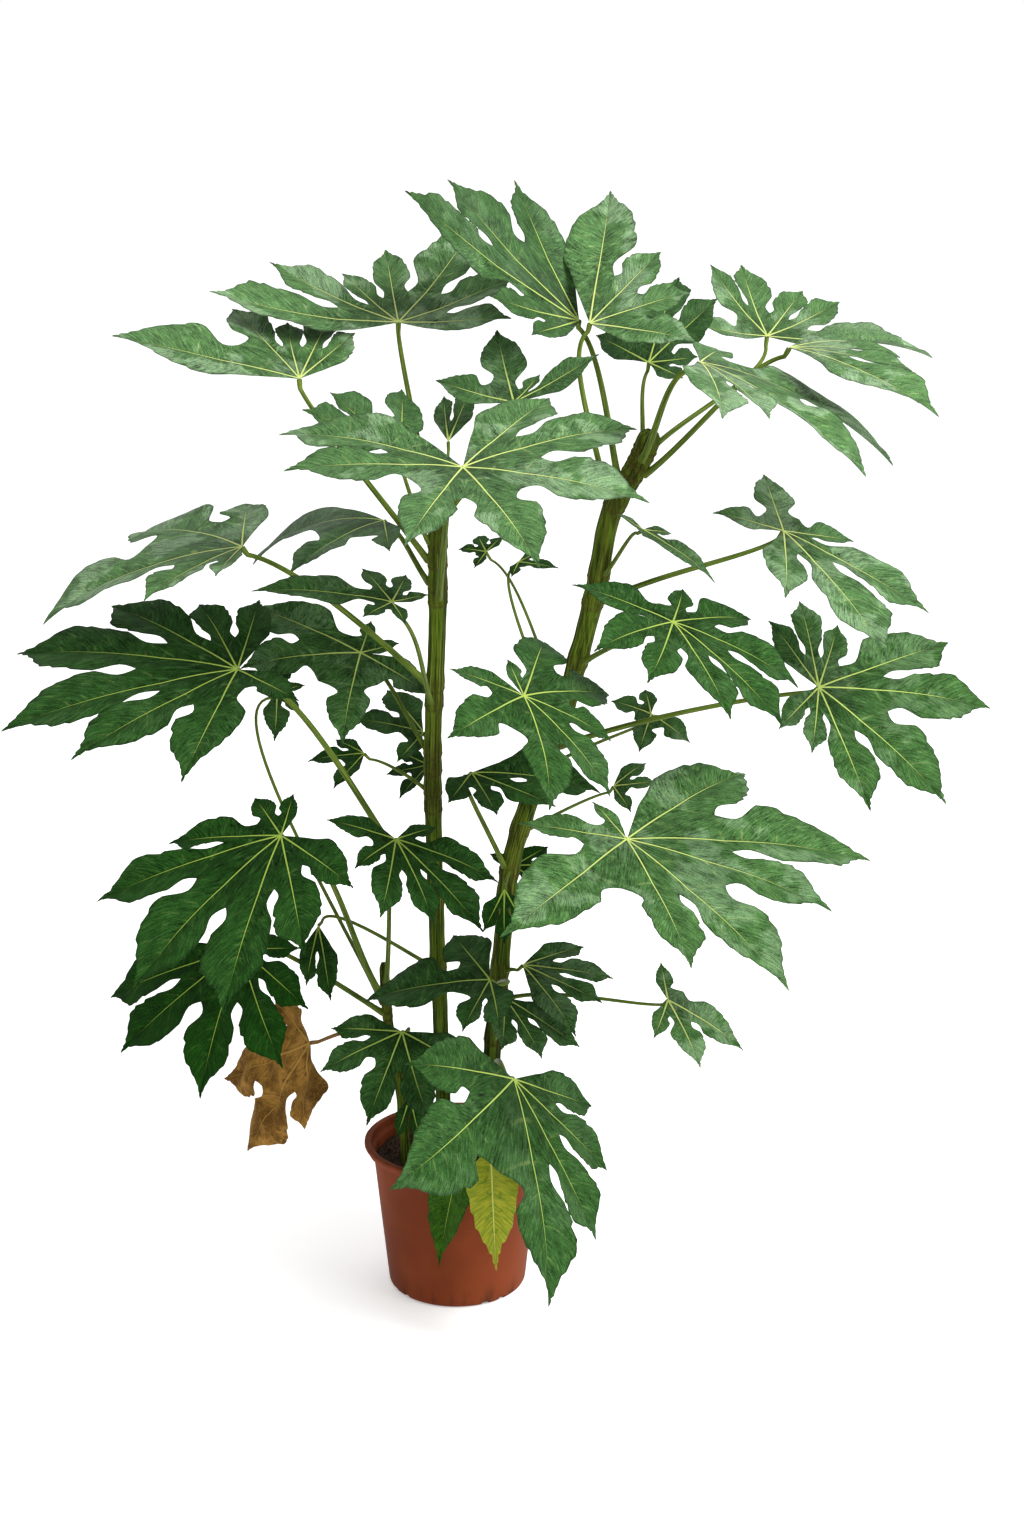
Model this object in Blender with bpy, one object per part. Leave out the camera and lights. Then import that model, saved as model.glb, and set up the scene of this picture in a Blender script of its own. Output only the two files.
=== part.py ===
"""Fatsia japonica in a plastic nursery pot: pot, soil, three stems and palmate leaves, in metres, +Z up.

The origin is the middle of the pot's underside. The camera side of the plant is towards -Y.
"""

import math

import bmesh
import bpy
import numpy as np

# Pot: outer sizes, wall and collar.
POT_HEIGHT = 0.174
RIM_RADIUS = 0.105
FOOT_RADIUS = 0.078
WALL = 0.0022
FLOOR = 0.004
COLLAR_HEIGHT = 0.012
COLLAR_STEP = 0.010
LIP = 0.0075
EDGE = 0.001
BEAD_OUT = 0.002
BEAD_LOW = 0.006
BEAD_HIGH = 0.004
FOOT_ROUNDING = 0.008
POT_SIDES = 40
DRAIN_WIDTH = 0.010
DRAIN_HEIGHT = 0.005
DRAIN_PAIRS = 4
DRAIN_FIRST_ANGLE = -64.0
DRAIN_PAIR_ANGLE = 16.0

# Soil and the plain holes that the stems stand in.
SOIL_TOP = 0.154
SOIL_GAP = 0.0003
SOIL_SIDES = 36
SOIL_RINGS = 6
SOIL_LUMP = 0.0025
SOIL_WAVES = ((190, 70, 0.0), (-120, 230, 1.3), (410, -350, 0.7))
FIT_GAP = 0.0004

# Stems: points of the centre line, with the radius at the foot and at the top.
STEM_SIDES = 10
STEM_SAMPLES = 120
NODE_LENGTH = 0.010
NODE_SWELLING = 0.13
SWELLING_END = 1.6
RING_SPACE = 0.8
STEM_END_LENGTH = 0.008
STEM_END_SHARE = 0.5
STEMS = {
    "stem_left": dict(
        foot_radius=0.0082,
        top_radius=0.0098,
        points=((-0.012, 0.012, 0.08), (-0.016, 0.012, 0.25), (-0.022, 0.012, 0.46),
                (-0.024, 0.012, 0.62), (-0.018, 0.012, 0.76), (-0.016, 0.012, 0.905)),
    ),
    "stem_right": dict(
        foot_radius=0.0092,
        top_radius=0.0112,
        points=((0.022, 0.0, 0.08), (0.034, 0.0, 0.20), (0.050, 0.0, 0.38), (0.066, 0.0, 0.52),
                (0.120, 0.0, 0.68), (0.153, 0.0, 0.81), (0.168, 0.0, 0.89),
                (0.197, 0.0, 0.945), (0.209, 0.0, 0.973)),
    ),
    "stem_short": dict(
        foot_radius=0.0062,
        top_radius=0.0050,
        points=((-0.055, -0.022, 0.08), (-0.060, -0.022, 0.22),
                (-0.074, -0.020, 0.31), (-0.079, -0.020, 0.385)),
    ),
}

# Leaves: blade thickness, then how a lobe's outline runs from notch to tip, in shares of its length.
BLADE = 0.0010
NOTCH = 0.42
ROOT = 0.95
LOBE_HALF_WIDTH = 0.20
LOBE_ROWS = ((0.30, 1.0), (0.66, 0.74))
GAP_SHARE = 0.92
WIDEST_GAP = 1.2
OPEN_GAP = 2.0
BASAL_NOTCH = 0.24
BASAL_SPREAD = 24.0
CUP = 8.0
FOLD = 0.10
ROOT_SINK = 0.02

# Petioles: radius, taper, and how they leave the stem and reach the blade, in shares of their length.
PETIOLE_SIDES = 5
PETIOLE_RINGS = 6
PETIOLE_LEAST = 0.0016
PETIOLE_GROWTH = 0.0085
PETIOLE_FOOT = 1.25
PETIOLE_TAPER = 0.07
LEAN_OUT = 0.35
LEAN_UP = 0.5
FOOT_PULL = 0.30
HUB_PULL = 0.18
HUB_DROP = 0.06
HUB_DEPTH = 0.010
HUB_ASIDE = 0.004
HUB_SINK = 0.0004

# One row a leaf: name, stem, height of the petiole's foot, hub, (heading, dip, roll) in degrees,
# reach of the longest lobe, droop in degrees over that reach, then (angle, share of the reach) a lobe.
# Heading turns about +Z from +X. Dip lowers the middle lobe. Angles run anticlockwise seen from above.
# A last entry holds what a leaf has of its own: a notch, a lobe half width, or a bow of its petiole.
LEAVES = (
    ("leaf_crown_left", "stem_left", 0.882, (-0.06, 0.1, 1.085), (95, -30, 0), 0.21, -15,
     ((-100, 0.6), (-70, 0.7), (-35, 0.85), (5, 0.55), (40, 0.45), (65, 0.75), (95, 1)),
     {"bow": (0, 0.05, 0)}),
    ("leaf_high_left", "stem_left", 0.84, (-0.16, 0, 1.035), (150, -20, -15), 0.2, 4,
     ((-84, 0.55), (-66, 0.7), (-42, 0.5), (-20, 0.7), (32, 1)), {"notch": 0.55, "width": 0.22}),
    ("leaf_crown_centre", "stem_right", 0.925, (0.135, 0.06, 1.09), (125, -50, 0), 0.24, -12,
     ((10, 0.7), (38, 0.85), (54, 1), (80, 0.5), (105, 0.35)), {"notch": 0.6, "width": 0.17}),
    ("leaf_crown_right", "stem_right", 0.905, (0.145, 0.025, 1.09), (60, -40, 10), 0.2, 12,
     ((-90, 0.6), (-55, 0.55), (-20, 0.6), (14, 1)), {"notch": 0.55, "width": 0.2}),
    ("leaf_crown_under", "stem_right", 0.966, (0.21, 0.065, 1.045), (75, -45, 0), 0.12, 10,
     ((-118, 0.4), (-84, 0.45), (-36, 0.9), (-6, 1), (62, 0.6)), {"notch": 0.5, "width": 0.26}),
    ("leaf_high_right_back", "stem_right", 0.96, (0.345, 0.145, 1.066), (90, -25, 10), 0.15, -12,
     ((-94, 1), (-52, 0.75), (-26, 0.65), (14, 0.8), (34, 0.8), (108, 0.6)), {"width": 0.22}),
    ("leaf_high_right_end", "stem_right", 0.94, (0.35, -0.03, 1.07), (-10, 5, 10), 0.2, 30,
     ((-32, 0.95), (-6, 0.65), (18, 0.6), (42, 1)), {"notch": 0.5, "width": 0.24, "bow": (0, 0.02, 0)}),
    ("leaf_high_right_front", "stem_right", 0.952, (0.253, -0.1, 1.062), (-10, 20, 5), 0.25, 35,
     ((-70, 0.6), (-44, 0.5), (-18, 0.85), (24, 1), (84, 0.35)), {"notch": 0.5, "width": 0.24}),
    ("leaf_upper_back", "stem_left", 0.89, (0.065, 0, 1.01), (70, -35, 0), 0.11, -5,
     ((-52, 0.95), (-28, 0.4), (26, 1), (82, 0.85)), {"width": 0.22}),
    ("leaf_upper_young", "stem_left", 0.898, (-0.005, 0.03, 0.965), (85, -40, 0), 0.075, 5,
     ((-15, 1), (10, 0.85))),
    ("leaf_upper_front", "stem_left", 0.8, (0.015, -0.2, 0.97), (-70, 25, 5), 0.22, 25,
     ((-130, 0.9), (-105, 0.8), (-40, 0.65), (10, 0.75), (65, 0.85), (105, 1), (130, 0.8))),
    ("leaf_upper_left_back", "stem_left", 0.86, (-0.055, -0.005, 0.96), (135, -50, 0), 0.12, 8,
     ((-32, 0.7), (38, 0.8), (60, 1)), {"notch": 0.5, "width": 0.3}),
    ("leaf_middle_left_high", "stem_left", 0.705, (-0.22, -0.05, 0.865), (175, 10, -15), 0.23, 30,
     ((-85, 0.55), (-45, 0.9), (5, 1), (40, 0.55), (75, 0.3)), {"notch": 0.58, "width": 0.22}),
    ("leaf_upper_left_arching", "stem_left", 0.815, (-0.075, 0.03, 0.88), (-140, 15, -5), 0.19, 50,
     ((-65, 1), (-10, 0.65), (55, 0.4)), {"notch": 0.6, "width": 0.22}),
    ("leaf_middle_left_small", "stem_left", 0.685, (-0.06, -0.12, 0.82), (-175, -10, -20), 0.145, 25,
     ((-150, 0.3), (-105, 0.4), (-60, 0.45), (0, 1), (55, 0.35), (110, 0.3))),
    ("leaf_middle_left_large", "stem_left", 0.46, (-0.225, -0.08, 0.74), (-180, 5, -25), 0.27, 25,
     ((-100, 0.45), (-70, 0.5), (-45, 0.8), (-20, 1), (10, 0.95), (35, 0.75), (75, 0.65), (135, 0.35))),
    ("leaf_middle_left_inner", "stem_left", 0.63, (-0.105, 0.07, 0.725), (-170, 5, -40), 0.15, 25,
     ((-175, 0.3), (-115, 0.3), (-40, 1), (-5, 0.9), (70, 0.8), (135, 0.65)), {"notch": 0.52}),
    ("leaf_behind_left_stem", "stem_left", 0.61, (-0.035, 0.045, 0.64), (-180, 0, -30), 0.09, 25,
     ((-60, 1), (-20, 0.95), (60, 0.6)), {"width": 0.24}),
    ("leaf_middle_front", "stem_right", 0.648, (0.075, -0.2, 0.74), (-30, 35, 5), 0.15, 30,
     ((-140, 0.55), (-90, 0.85), (-35, 0.95), (0, 0.9), (35, 0.7), (75, 0.95), (115, 1), (150, 0.35)),
     {"notch": 0.5}),
    ("leaf_inner_dark", "stem_right", 0.5, (0.02, -0.07, 0.625), (-65, 30, 0), 0.15, 25,
     ((-46, 0.4), (4, 0.45), (50, 0.65), (78, 1)), {"width": 0.27}),
    ("leaf_middle_right_inner", "stem_right", 0.735, (0.23, -0.1, 0.795), (5, 20, 25), 0.16, 25,
     ((-135, 0.75), (-100, 0.7), (-60, 0.85), (-35, 1), (-5, 0.95), (35, 0.7), (80, 0.4), (175, 0.7)),
     {"width": 0.22}),
    ("leaf_right_high", "stem_right", 0.8, (0.355, 0.02, 0.87), (0, 15, 25), 0.2, 20,
     ((-86, 0.6), (-52, 1), (-24, 0.9), (8, 0.4), (106, 0.5), (182, 0.4)), {"notch": 0.38, "width": 0.23}),
    ("leaf_right_far", "stem_right", 0.64, (0.4, 0.03, 0.695), (-5, 15, 40), 0.2, 20,
     ((-115, 0.4), (-85, 0.45), (-60, 0.8), (-30, 0.95), (15, 1),
      (40, 0.9), (85, 0.45), (110, 0.6), (135, 0.5))),
    ("leaf_right_slender", "stem_right", 0.83, (0.2, -0.06, 0.885), (-5, 35, 20), 0.096, 20,
     ((-166, 0.35), (6, 1), (42, 0.4)), {"width": 0.17}),
    ("leaf_inner_small", "stem_right", 0.615, (0.22, 0.09, 0.65), (-100, 35, -5), 0.057, 25,
     ((-164, 0.7), (-110, 0.9), (-8, 0.95), (56, 1)), {"width": 0.26}),
    ("leaf_inner_least", "stem_right", 0.545, (0.175, 0.02, 0.585), (-5, 0, 30), 0.055, 20,
     ((-60, 0.8), (10, 0.9), (50, 1))),
    ("leaf_right_front_large", "stem_right", 0.45, (0.18, -0.2, 0.59), (-60, 25, -5), 0.3, 20,
     ((-170, 0.2), (-105, 0.4), (-60, 0.8), (-10, 0.65), (15, 0.8), (55, 0.75), (80, 1), (115, 0.8)),
     {"notch": 0.5, "width": 0.17}),
    ("leaf_right_low", "stem_right", 0.345, (0.235, -0.05, 0.36), (-20, 20, 30), 0.1, 20,
     ((-80, 0.55), (-40, 0.9), (-5, 1), (125, 0.5))),
    ("leaf_low_left_large", "stem_short", 0.355, (-0.18, -0.12, 0.57), (-155, 25, -20), 0.23, 20,
     ((-135, 0.25), (-95, 0.3), (-40, 0.55), (-20, 0.9), (15, 1), (45, 1), (70, 0.75), (100, 0.55)),
     {"notch": 0.48}),
    ("leaf_low_left_under", "stem_short", 0.335, (-0.235, -0.05, 0.42), (-125, 50, 0), 0.18, 20,
     ((-60, 1), (-35, 1), (10, 0.95), (45, 0.9), (70, 0.7), (100, 0.45))),
    ("leaf_dry_brown", "stem_short", 0.315, (-0.165, 0, 0.29), (-130, 70, 0), 0.15, 10,
     ((-118, 0.47), (-57, 0.9), (-20, 1), (12, 0.65)), {"notch": 0.6, "width": 0.26}),
    ("leaf_low_centre", "stem_short", 0.372, (-0.06, -0.1, 0.56), (-70, 35, 0), 0.14, 25,
     ((-118, 0.55), (-60, 0.45), (-22, 0.75), (8, 0.8), (28, 1), (58, 0.85), (102, 0.35))),
    ("leaf_low_front", "stem_short", 0.27, (-0.055, -0.12, 0.35), (-110, 45, 0), 0.11, 20,
     ((-85, 0.75), (-55, 0.9), (-5, 1), (30, 1), (70, 1))),
    ("leaf_low_middle", "stem_right", 0.36, (0.04, -0.15, 0.42), (-150, 25, -5), 0.16, 25,
     ((-100, 0.7), (-50, 1), (35, 0.5), (65, 0.55)), {"width": 0.24}),
    ("leaf_low_behind", "stem_right", 0.47, (0.065, 0.06, 0.48), (-5, 10, 35), 0.058, 20,
     ((-26, 0.85), (18, 1), (48, 0.9), (160, 0.55)), {"width": 0.24}),
    ("leaf_low_over_stem", "stem_right", 0.495, (0.055, -0.04, 0.485), (-95, 55, 0), 0.062, 20,
     ((-22, 0.85), (2, 1), (30, 0.8)), {"width": 0.24}),
    ("leaf_low_right", "stem_right", 0.38, (0.075, -0.02, 0.39), (-10, 15, 25), 0.11, 20,
     ((-40, 1), (-10, 0.9), (15, 0.95), (45, 0.75))),
    ("leaf_low_right_under", "stem_right", 0.3, (0.055, -0.07, 0.37), (-50, 40, 0), 0.1, 20,
     ((-34, 0.7), (4, 0.8), (36, 1)), {"width": 0.28}),
    ("leaf_over_pot_large", "stem_right", 0.262, (0.065, -0.18, 0.32), (-45, 60, -10), 0.24, 15,
     ((-110, 0.7), (-75, 1), (-15, 1), (10, 0.8), (35, 0.65), (60, 0.5)), {"notch": 0.5}),
    ("leaf_ageing", "stem_right", 0.232, (0.04, -0.15, 0.26), (-85, 80, 0), 0.165, 8,
     ((-60, 0.35), (0, 1), (60, 0.35)), {"notch": 0.2, "width": 0.17}),
    ("leaf_over_pot_small", "stem_right", 0.215, (0.015, -0.13, 0.25), (-110, 80, 25), 0.17, 8,
     ((-60, 0.3), (-8, 1), (40, 0.2)), {"width": 0.2}),
    ("leaf_pot_mouth", "stem_short", 0.215, (-0.05, -0.06, 0.25), (-95, 70, 0), 0.05, 10,
     ((-15, 0.95), (15, 1))),
    ("leaf_low_left_small", "stem_left", 0.38, (-0.15, -0.03, 0.44), (-110, 70, 0), 0.085, 10,
     ((-5, 0.8), (20, 1))),
    ("leaf_inner_upper", "stem_right", 0.69, (0.035, 0.06, 0.84), (145, -5, -25), 0.04, 20,
     ((-90, 0.8), (-40, 1), (5, 0.9), (100, 0.75)), {"width": 0.24}),
    ("leaf_inner_slender", "stem_right", 0.668, (0.07, 0, 0.84), (-25, 10, 20), 0.045, 15,
     ((-75, 0.7), (10, 1), (65, 0.65))),
    ("leaf_inner_left", "stem_left", 0.585, (-0.1, 0.03, 0.62), (-180, 10, -25), 0.065, 15,
     ((-45, 0.7), (-5, 1), (55, 0.95))),
    ("leaf_inner_left_small", "stem_left", 0.567, (-0.03, 0.055, 0.6), (-180, 25, -25), 0.055, 10,
     ((-55, 0.9), (-15, 0.95), (40, 1))),
    ("leaf_middle_left_hidden", "stem_short", 0.344, (-0.195, 0.03, 0.69), (-15, 20, 25), 0.075, 15,
     ((-65, 1), (-25, 0.55), (50, 0.45), (105, 0.7))),
)

GREEN_LIGHT = (0.13, 0.27, 0.13)
GREEN_DARK = (0.035, 0.13, 0.045)
YELLOWING = (0.36, 0.40, 0.06)
DRIED = (0.32, 0.16, 0.06)
BARK = (0.13, 0.16, 0.05)
TERRACOTTA = (0.30, 0.10, 0.05)
EARTH = (0.035, 0.022, 0.015)
DARK_BELOW = 0.86
COLOURED_LEAVES = {
    "leaf_ageing": ("leaf_yellowing", YELLOWING),
    "leaf_dry_brown": ("leaf_dried", DRIED),
}


def clear_scene():
    for old in list(bpy.data.objects):
        bpy.data.objects.remove(old, do_unlink=True)


def material(name, colour, roughness):
    found = bpy.data.materials.get(name)
    if found:
        return found
    made = bpy.data.materials.new(name)
    made.use_nodes = True
    shader = made.node_tree.nodes["Principled BSDF"]
    shader.inputs["Base Color"].default_value = (*colour, 1.0)
    shader.inputs["Roughness"].default_value = roughness
    shader.inputs["Metallic"].default_value = 0.0
    return made


def placed(name, mesh, surface, helper=False):
    """Object with the mesh and one material. A helper only cuts or joins and isn't shown."""
    made = bpy.data.objects.new(name, mesh)
    bpy.context.scene.collection.objects.link(made)
    made.data.materials.append(surface)
    if helper:
        made.hide_render = True
        made.display_type = "WIRE"
    return made


def new_object(name, points, faces, surface, helper=False):
    mesh = bpy.data.meshes.new(name)
    mesh.from_pydata([tuple(map(float, p)) for p in points], [], [tuple(map(int, f)) for f in faces])
    mesh.update()
    return placed(name, mesh, surface, helper)


def add_boolean(target, other, operation):
    modifier = target.modifiers.new(operation.lower(), "BOOLEAN")
    modifier.operation = operation
    modifier.solver = "EXACT"
    modifier.object = other


def unit(vector):
    return vector / max(np.linalg.norm(vector), 1e-12)


def lathe(profile, sides):
    """Closed solid of revolution. The profile (radius, height) runs anticlockwise from axis to axis."""
    turns = np.arange(sides) * 2 * math.pi / sides
    points = []
    rings = []
    for radius, height in profile:
        if radius < 1e-6:
            rings.append([len(points)] * sides)
            points.append((0.0, 0.0, height))
        else:
            rings.append(list(range(len(points), len(points) + sides)))
            points += [(radius * math.cos(t), radius * math.sin(t), height) for t in turns]
    faces = []
    for low, high in zip(rings, rings[1:]):
        for i in range(sides):
            j = (i + 1) % sides
            corners = [low[i], low[j], high[j], high[i]]
            faces.append(list(dict.fromkeys(corners)))
    return points, faces


def pot_wall_radius(height):
    """Outer radius of the tapered wall under the collar."""
    top = RIM_RADIUS - COLLAR_STEP
    return FOOT_RADIUS + (top - FOOT_RADIUS) * height / (POT_HEIGHT - COLLAR_HEIGHT)


def pot_inside_radius(height):
    """Inner radius of the tapered wall, which ends above the rounded foot."""
    step = POT_HEIGHT - COLLAR_HEIGHT
    foot = pot_wall_radius(0) - WALL
    top = pot_wall_radius(step) - WALL
    return foot + (top - foot) * (height - FOOT_ROUNDING) / (step - FOOT_ROUNDING)


def pot_profile():
    step = POT_HEIGHT - COLLAR_HEIGHT
    corner = [
        (pot_wall_radius(0) - FOOT_ROUNDING * (1 - math.sin(a)), FOOT_ROUNDING * (1 - math.cos(a)))
        for a in (0.0, math.pi / 6, math.pi / 3, math.pi / 2)
    ]
    outside = [(0.0, 0.0), *corner, (pot_wall_radius(step), step), (RIM_RADIUS - 2 * BEAD_OUT, step + EDGE)]
    rim = [
        (RIM_RADIUS - BEAD_OUT, POT_HEIGHT - BEAD_LOW),
        (RIM_RADIUS, POT_HEIGHT - BEAD_HIGH),
        (RIM_RADIUS, POT_HEIGHT - EDGE),
        (RIM_RADIUS - EDGE, POT_HEIGHT),
        (RIM_RADIUS - LIP + EDGE, POT_HEIGHT),
        (RIM_RADIUS - LIP, POT_HEIGHT - EDGE),
    ]
    inside = [
        (RIM_RADIUS - LIP - EDGE, step + 3 * EDGE),
        (pot_wall_radius(step) - WALL, step),
        (pot_wall_radius(0) - WALL, FOOT_ROUNDING),
        (pot_wall_radius(0) - WALL - FOOT_ROUNDING / 2, FLOOR),
        (0.0, FLOOR),
    ]
    return outside + rim + inside


def box_at(name, centre, turn, size, surface):
    """Helper box turned about the vertical."""
    mesh = bmesh.new()
    bmesh.ops.create_cube(mesh, size=1.0)
    data = bpy.data.meshes.new(name)
    mesh.to_mesh(data)
    mesh.free()
    made = placed(name, data, surface, helper=True)
    made.location = centre
    made.rotation_euler = (0.0, 0.0, turn)
    made.scale = size
    return made


def make_pot():
    surface = material("pot_terracotta", TERRACOTTA, 0.5)
    pot = new_object("pot", *lathe(pot_profile(), POT_SIDES), surface)
    for pair in range(DRAIN_PAIRS):
        for side in (0, 1):
            turn = math.radians(DRAIN_FIRST_ANGLE + pair * 360 / DRAIN_PAIRS + side * DRAIN_PAIR_ANGLE)
            centre = (FOOT_RADIUS * math.cos(turn), FOOT_RADIUS * math.sin(turn), 0.0)
            size = (2 * FOOT_ROUNDING, DRAIN_WIDTH, 2 * DRAIN_HEIGHT)
            add_boolean(pot, box_at(f"drain_{pair}_{side}", centre, turn, size, surface), "DIFFERENCE")
    return pot


def soil_lump(x, y):
    """Uneven height of the soil at a place: the mean of a few crossed waves."""
    waves = sum(math.sin(a * x + b * y + shift) for a, b, shift in SOIL_WAVES)
    return SOIL_LUMP * waves / len(SOIL_WAVES)


def soil_profile():
    """Outline that clears the flat sides of the pot's inside, then the rings of the top."""
    flat = math.cos(math.pi / POT_SIDES)
    below = FLOOR + SOIL_GAP
    shoulder_height = SOIL_TOP - 2 * EDGE
    inner = pot_inside_radius(FOOT_ROUNDING) * flat - SOIL_GAP
    shoulder = pot_inside_radius(shoulder_height) * flat - SOIL_GAP
    side = [
        (0.0, below),
        (inner - FOOT_ROUNDING / 2, below),
        (inner, FOOT_ROUNDING + SOIL_GAP),
        (shoulder, shoulder_height),
    ]
    top = [(shoulder * (SOIL_RINGS - k) / (SOIL_RINGS + 1), SOIL_TOP) for k in range(SOIL_RINGS)]
    return [*side, *top, (0.0, SOIL_TOP)]


def make_soil():
    points, faces = lathe(soil_profile(), SOIL_SIDES)
    points = [(x, y, z + soil_lump(x, y) if z > SOIL_TOP - EDGE else z) for x, y, z in points]
    surface = material("soil_dark", EARTH, 0.95)
    soil = new_object("soil", points, faces, surface)
    for name in STEMS:
        foot = STEMS[name]["points"][0][2]
        above = SOIL_TOP + 2 * SOIL_LUMP
        path = [stem_centre(name, h) for h in (foot, (foot + SOIL_TOP) / 2, above)]
        path[0] = path[0] - FIT_GAP * unit(path[1] - path[0])
        radii = [stem_radius(name, p[2]) + FIT_GAP for p in path]
        hole = new_object(f"hole_{name}", *tube(path, radii, STEM_SIDES), surface, helper=True)
        add_boolean(soil, hole, "DIFFERENCE")
    return soil


def tube(path, radii, sides, first=None, last=None):
    """Closed tube along a path. Its rings keep their turn from one to the next."""
    path = [np.array(p, float) for p in path]
    tangents = [unit(path[min(i + 1, len(path) - 1)] - path[max(i - 1, 0)]) for i in range(len(path))]
    if first is not None:
        tangents[0] = unit(np.array(first))
    if last is not None:
        tangents[-1] = unit(np.array(last))
    side = unit(np.cross(tangents[0], (0.31, 0.57, 0.76)))
    points = []
    for centre, tangent, radius in zip(path, tangents, radii):
        side = unit(side - tangent * np.dot(side, tangent))
        other = np.cross(tangent, side)
        for k in range(sides):
            turn = 2 * math.pi * k / sides
            points.append(centre + radius * (side * math.cos(turn) + other * math.sin(turn)))
    faces = []
    for ring in range(len(path) - 1):
        for k in range(sides):
            a = ring * sides + k
            b = ring * sides + (k + 1) % sides
            faces.append((a, b, b + sides, a + sides))
    faces.append(tuple(range(sides))[::-1])
    faces.append(tuple(range(len(points) - sides, len(points))))
    return points, faces


def smooth_path(points, count):
    """Even Catmull-Rom samples through the given points."""
    points = [np.array(p, float) for p in points]
    ends = [2 * points[0] - points[1], *points, 2 * points[-1] - points[-2]]
    samples = []
    for t in np.linspace(0, len(points) - 1, count):
        i = min(int(t), len(points) - 2)
        f = t - i
        a, b, c, d = ends[i:i + 4]
        square = 2 * a - 5 * b + 4 * c - d
        cube = 3 * b - a - 3 * c + d
        samples.append(0.5 * (2 * b + (c - a) * f + square * f**2 + cube * f**3))
    return samples


def feet_on(name):
    """Heights at which petioles leave a stem."""
    return sorted(row[2] for row in LEAVES if row[1] == name)


def stem_radius(name, height):
    """Radius at a height: an even taper with a low swelling under each petiole."""
    stem = STEMS[name]
    low = stem["points"][0][2]
    high = stem["points"][-1][2]
    share = min(max((height - low) / (high - low), 0.0), 1.0)
    even = stem["foot_radius"] + (stem["top_radius"] - stem["foot_radius"]) * share
    swelling = max(math.exp(-(((height - foot) / NODE_LENGTH) ** 2)) for foot in feet_on(name))
    return even * (1 + NODE_SWELLING * swelling)


def stem_centre(name, height):
    line = np.array(smooth_path(STEMS[name]["points"], STEM_SAMPLES))
    return np.array([np.interp(height, line[:, 2], line[:, k]) for k in range(3)])


def stem_place(name, height):
    """Centre, direction and radius of the stem at a height."""
    above = stem_centre(name, height + NODE_LENGTH)
    below = stem_centre(name, height - NODE_LENGTH)
    return stem_centre(name, height), unit(above - below), stem_radius(name, height)


def ring_heights(name):
    """A ring at each petiole's foot, at both sides of its swelling and at the given points of the line."""
    points = STEMS[name]["points"]
    feet = feet_on(name)
    heights = list(feet)
    extra = [p[2] for p in points]
    extra += [foot + side * SWELLING_END * NODE_LENGTH for foot in feet for side in (-1, 1)]
    for height in extra:
        inside = points[0][2] <= height <= points[-1][2]
        if inside and min(abs(height - h) for h in heights) > RING_SPACE * NODE_LENGTH:
            heights.append(height)
    return sorted(heights)


def make_stem(name):
    heights = ring_heights(name)
    path = [stem_centre(name, h) for h in heights]
    radii = [stem_radius(name, h) for h in heights]
    path.append(path[-1] + unit(path[-1] - path[-2]) * STEM_END_LENGTH)
    radii.append(radii[-1] * STEM_END_SHARE)
    return new_object(name, *tube(path, radii, STEM_SIDES), material("stem_bark", BARK, 0.7))


def blade_axes(heading, dip, roll):
    """Columns: towards the middle lobe, to its left, out of the upper face."""
    a, b, r = map(math.radians, (heading, dip, roll))
    ahead = np.array([math.cos(a) * math.cos(b), math.sin(a) * math.cos(b), -math.sin(b)])
    level = np.array([-math.sin(a), math.cos(a), 0.0])
    left = level * math.cos(r) + np.cross(ahead, level) * math.sin(r)
    return np.stack([ahead, left, np.cross(ahead, left)], 1)


def bend(flat, reach, droop):
    """Flat places to the drooping blade: each ray from the hub starts up by CUP and curves down evenly."""
    curve = math.radians(droop) / reach
    cup = math.radians(CUP)
    r = np.maximum(np.linalg.norm(flat, axis=1), 1e-9)
    out = (math.sin(cup) - np.sin(cup - curve * r)) / curve
    height = (np.cos(cup - curve * r) - math.cos(cup)) / curve
    return np.column_stack([flat * (out / r)[:, None], height])


def along(angle, radius):
    return np.array([math.cos(angle), math.sin(angle)]) * radius


def notch_places(angles, lengths, notch):
    """Flat places between the lobes, with one more at each side of the petiole."""
    places = [along(angles[0] - math.radians(BASAL_SPREAD), BASAL_NOTCH * lengths[0])]
    for a, b, p, q in zip(angles, angles[1:], lengths, lengths[1:]):
        places.append(along((a + b) / 2, notch * min(p, q)))
    places.append(along(angles[-1] + math.radians(BASAL_SPREAD), BASAL_NOTCH * lengths[-1]))
    return places


def side_width(wanted, distance, gap):
    """Half width on one side, kept inside half the angle to the next lobe."""
    return min(wanted, GAP_SHARE * distance * math.tan(min(gap / 2, WIDEST_GAP)))


def lobe_places(angle, length, gap_right, gap_left, notch, width):
    """Pairs of flat place and lift: the root, then midrib, left and right of each row, then the tip."""
    ahead = along(angle, 1.0)
    aside = along(angle + math.pi / 2, 1.0)
    root = notch * ROOT * length
    places = [(ahead * root, -ROOT_SINK * length)]
    for share, widening in LOBE_ROWS:
        distance = root + (length - root) * share
        wanted = width * length * widening
        to_left = side_width(wanted, distance, gap_left)
        to_right = side_width(wanted, distance, gap_right)
        places.append((ahead * distance, -FOLD * wanted))
        places.append((ahead * distance + aside * to_left, FOLD * to_left))
        places.append((ahead * distance - aside * to_right, FOLD * to_right))
    return [*places, (ahead * length, 0.0)]


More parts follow.
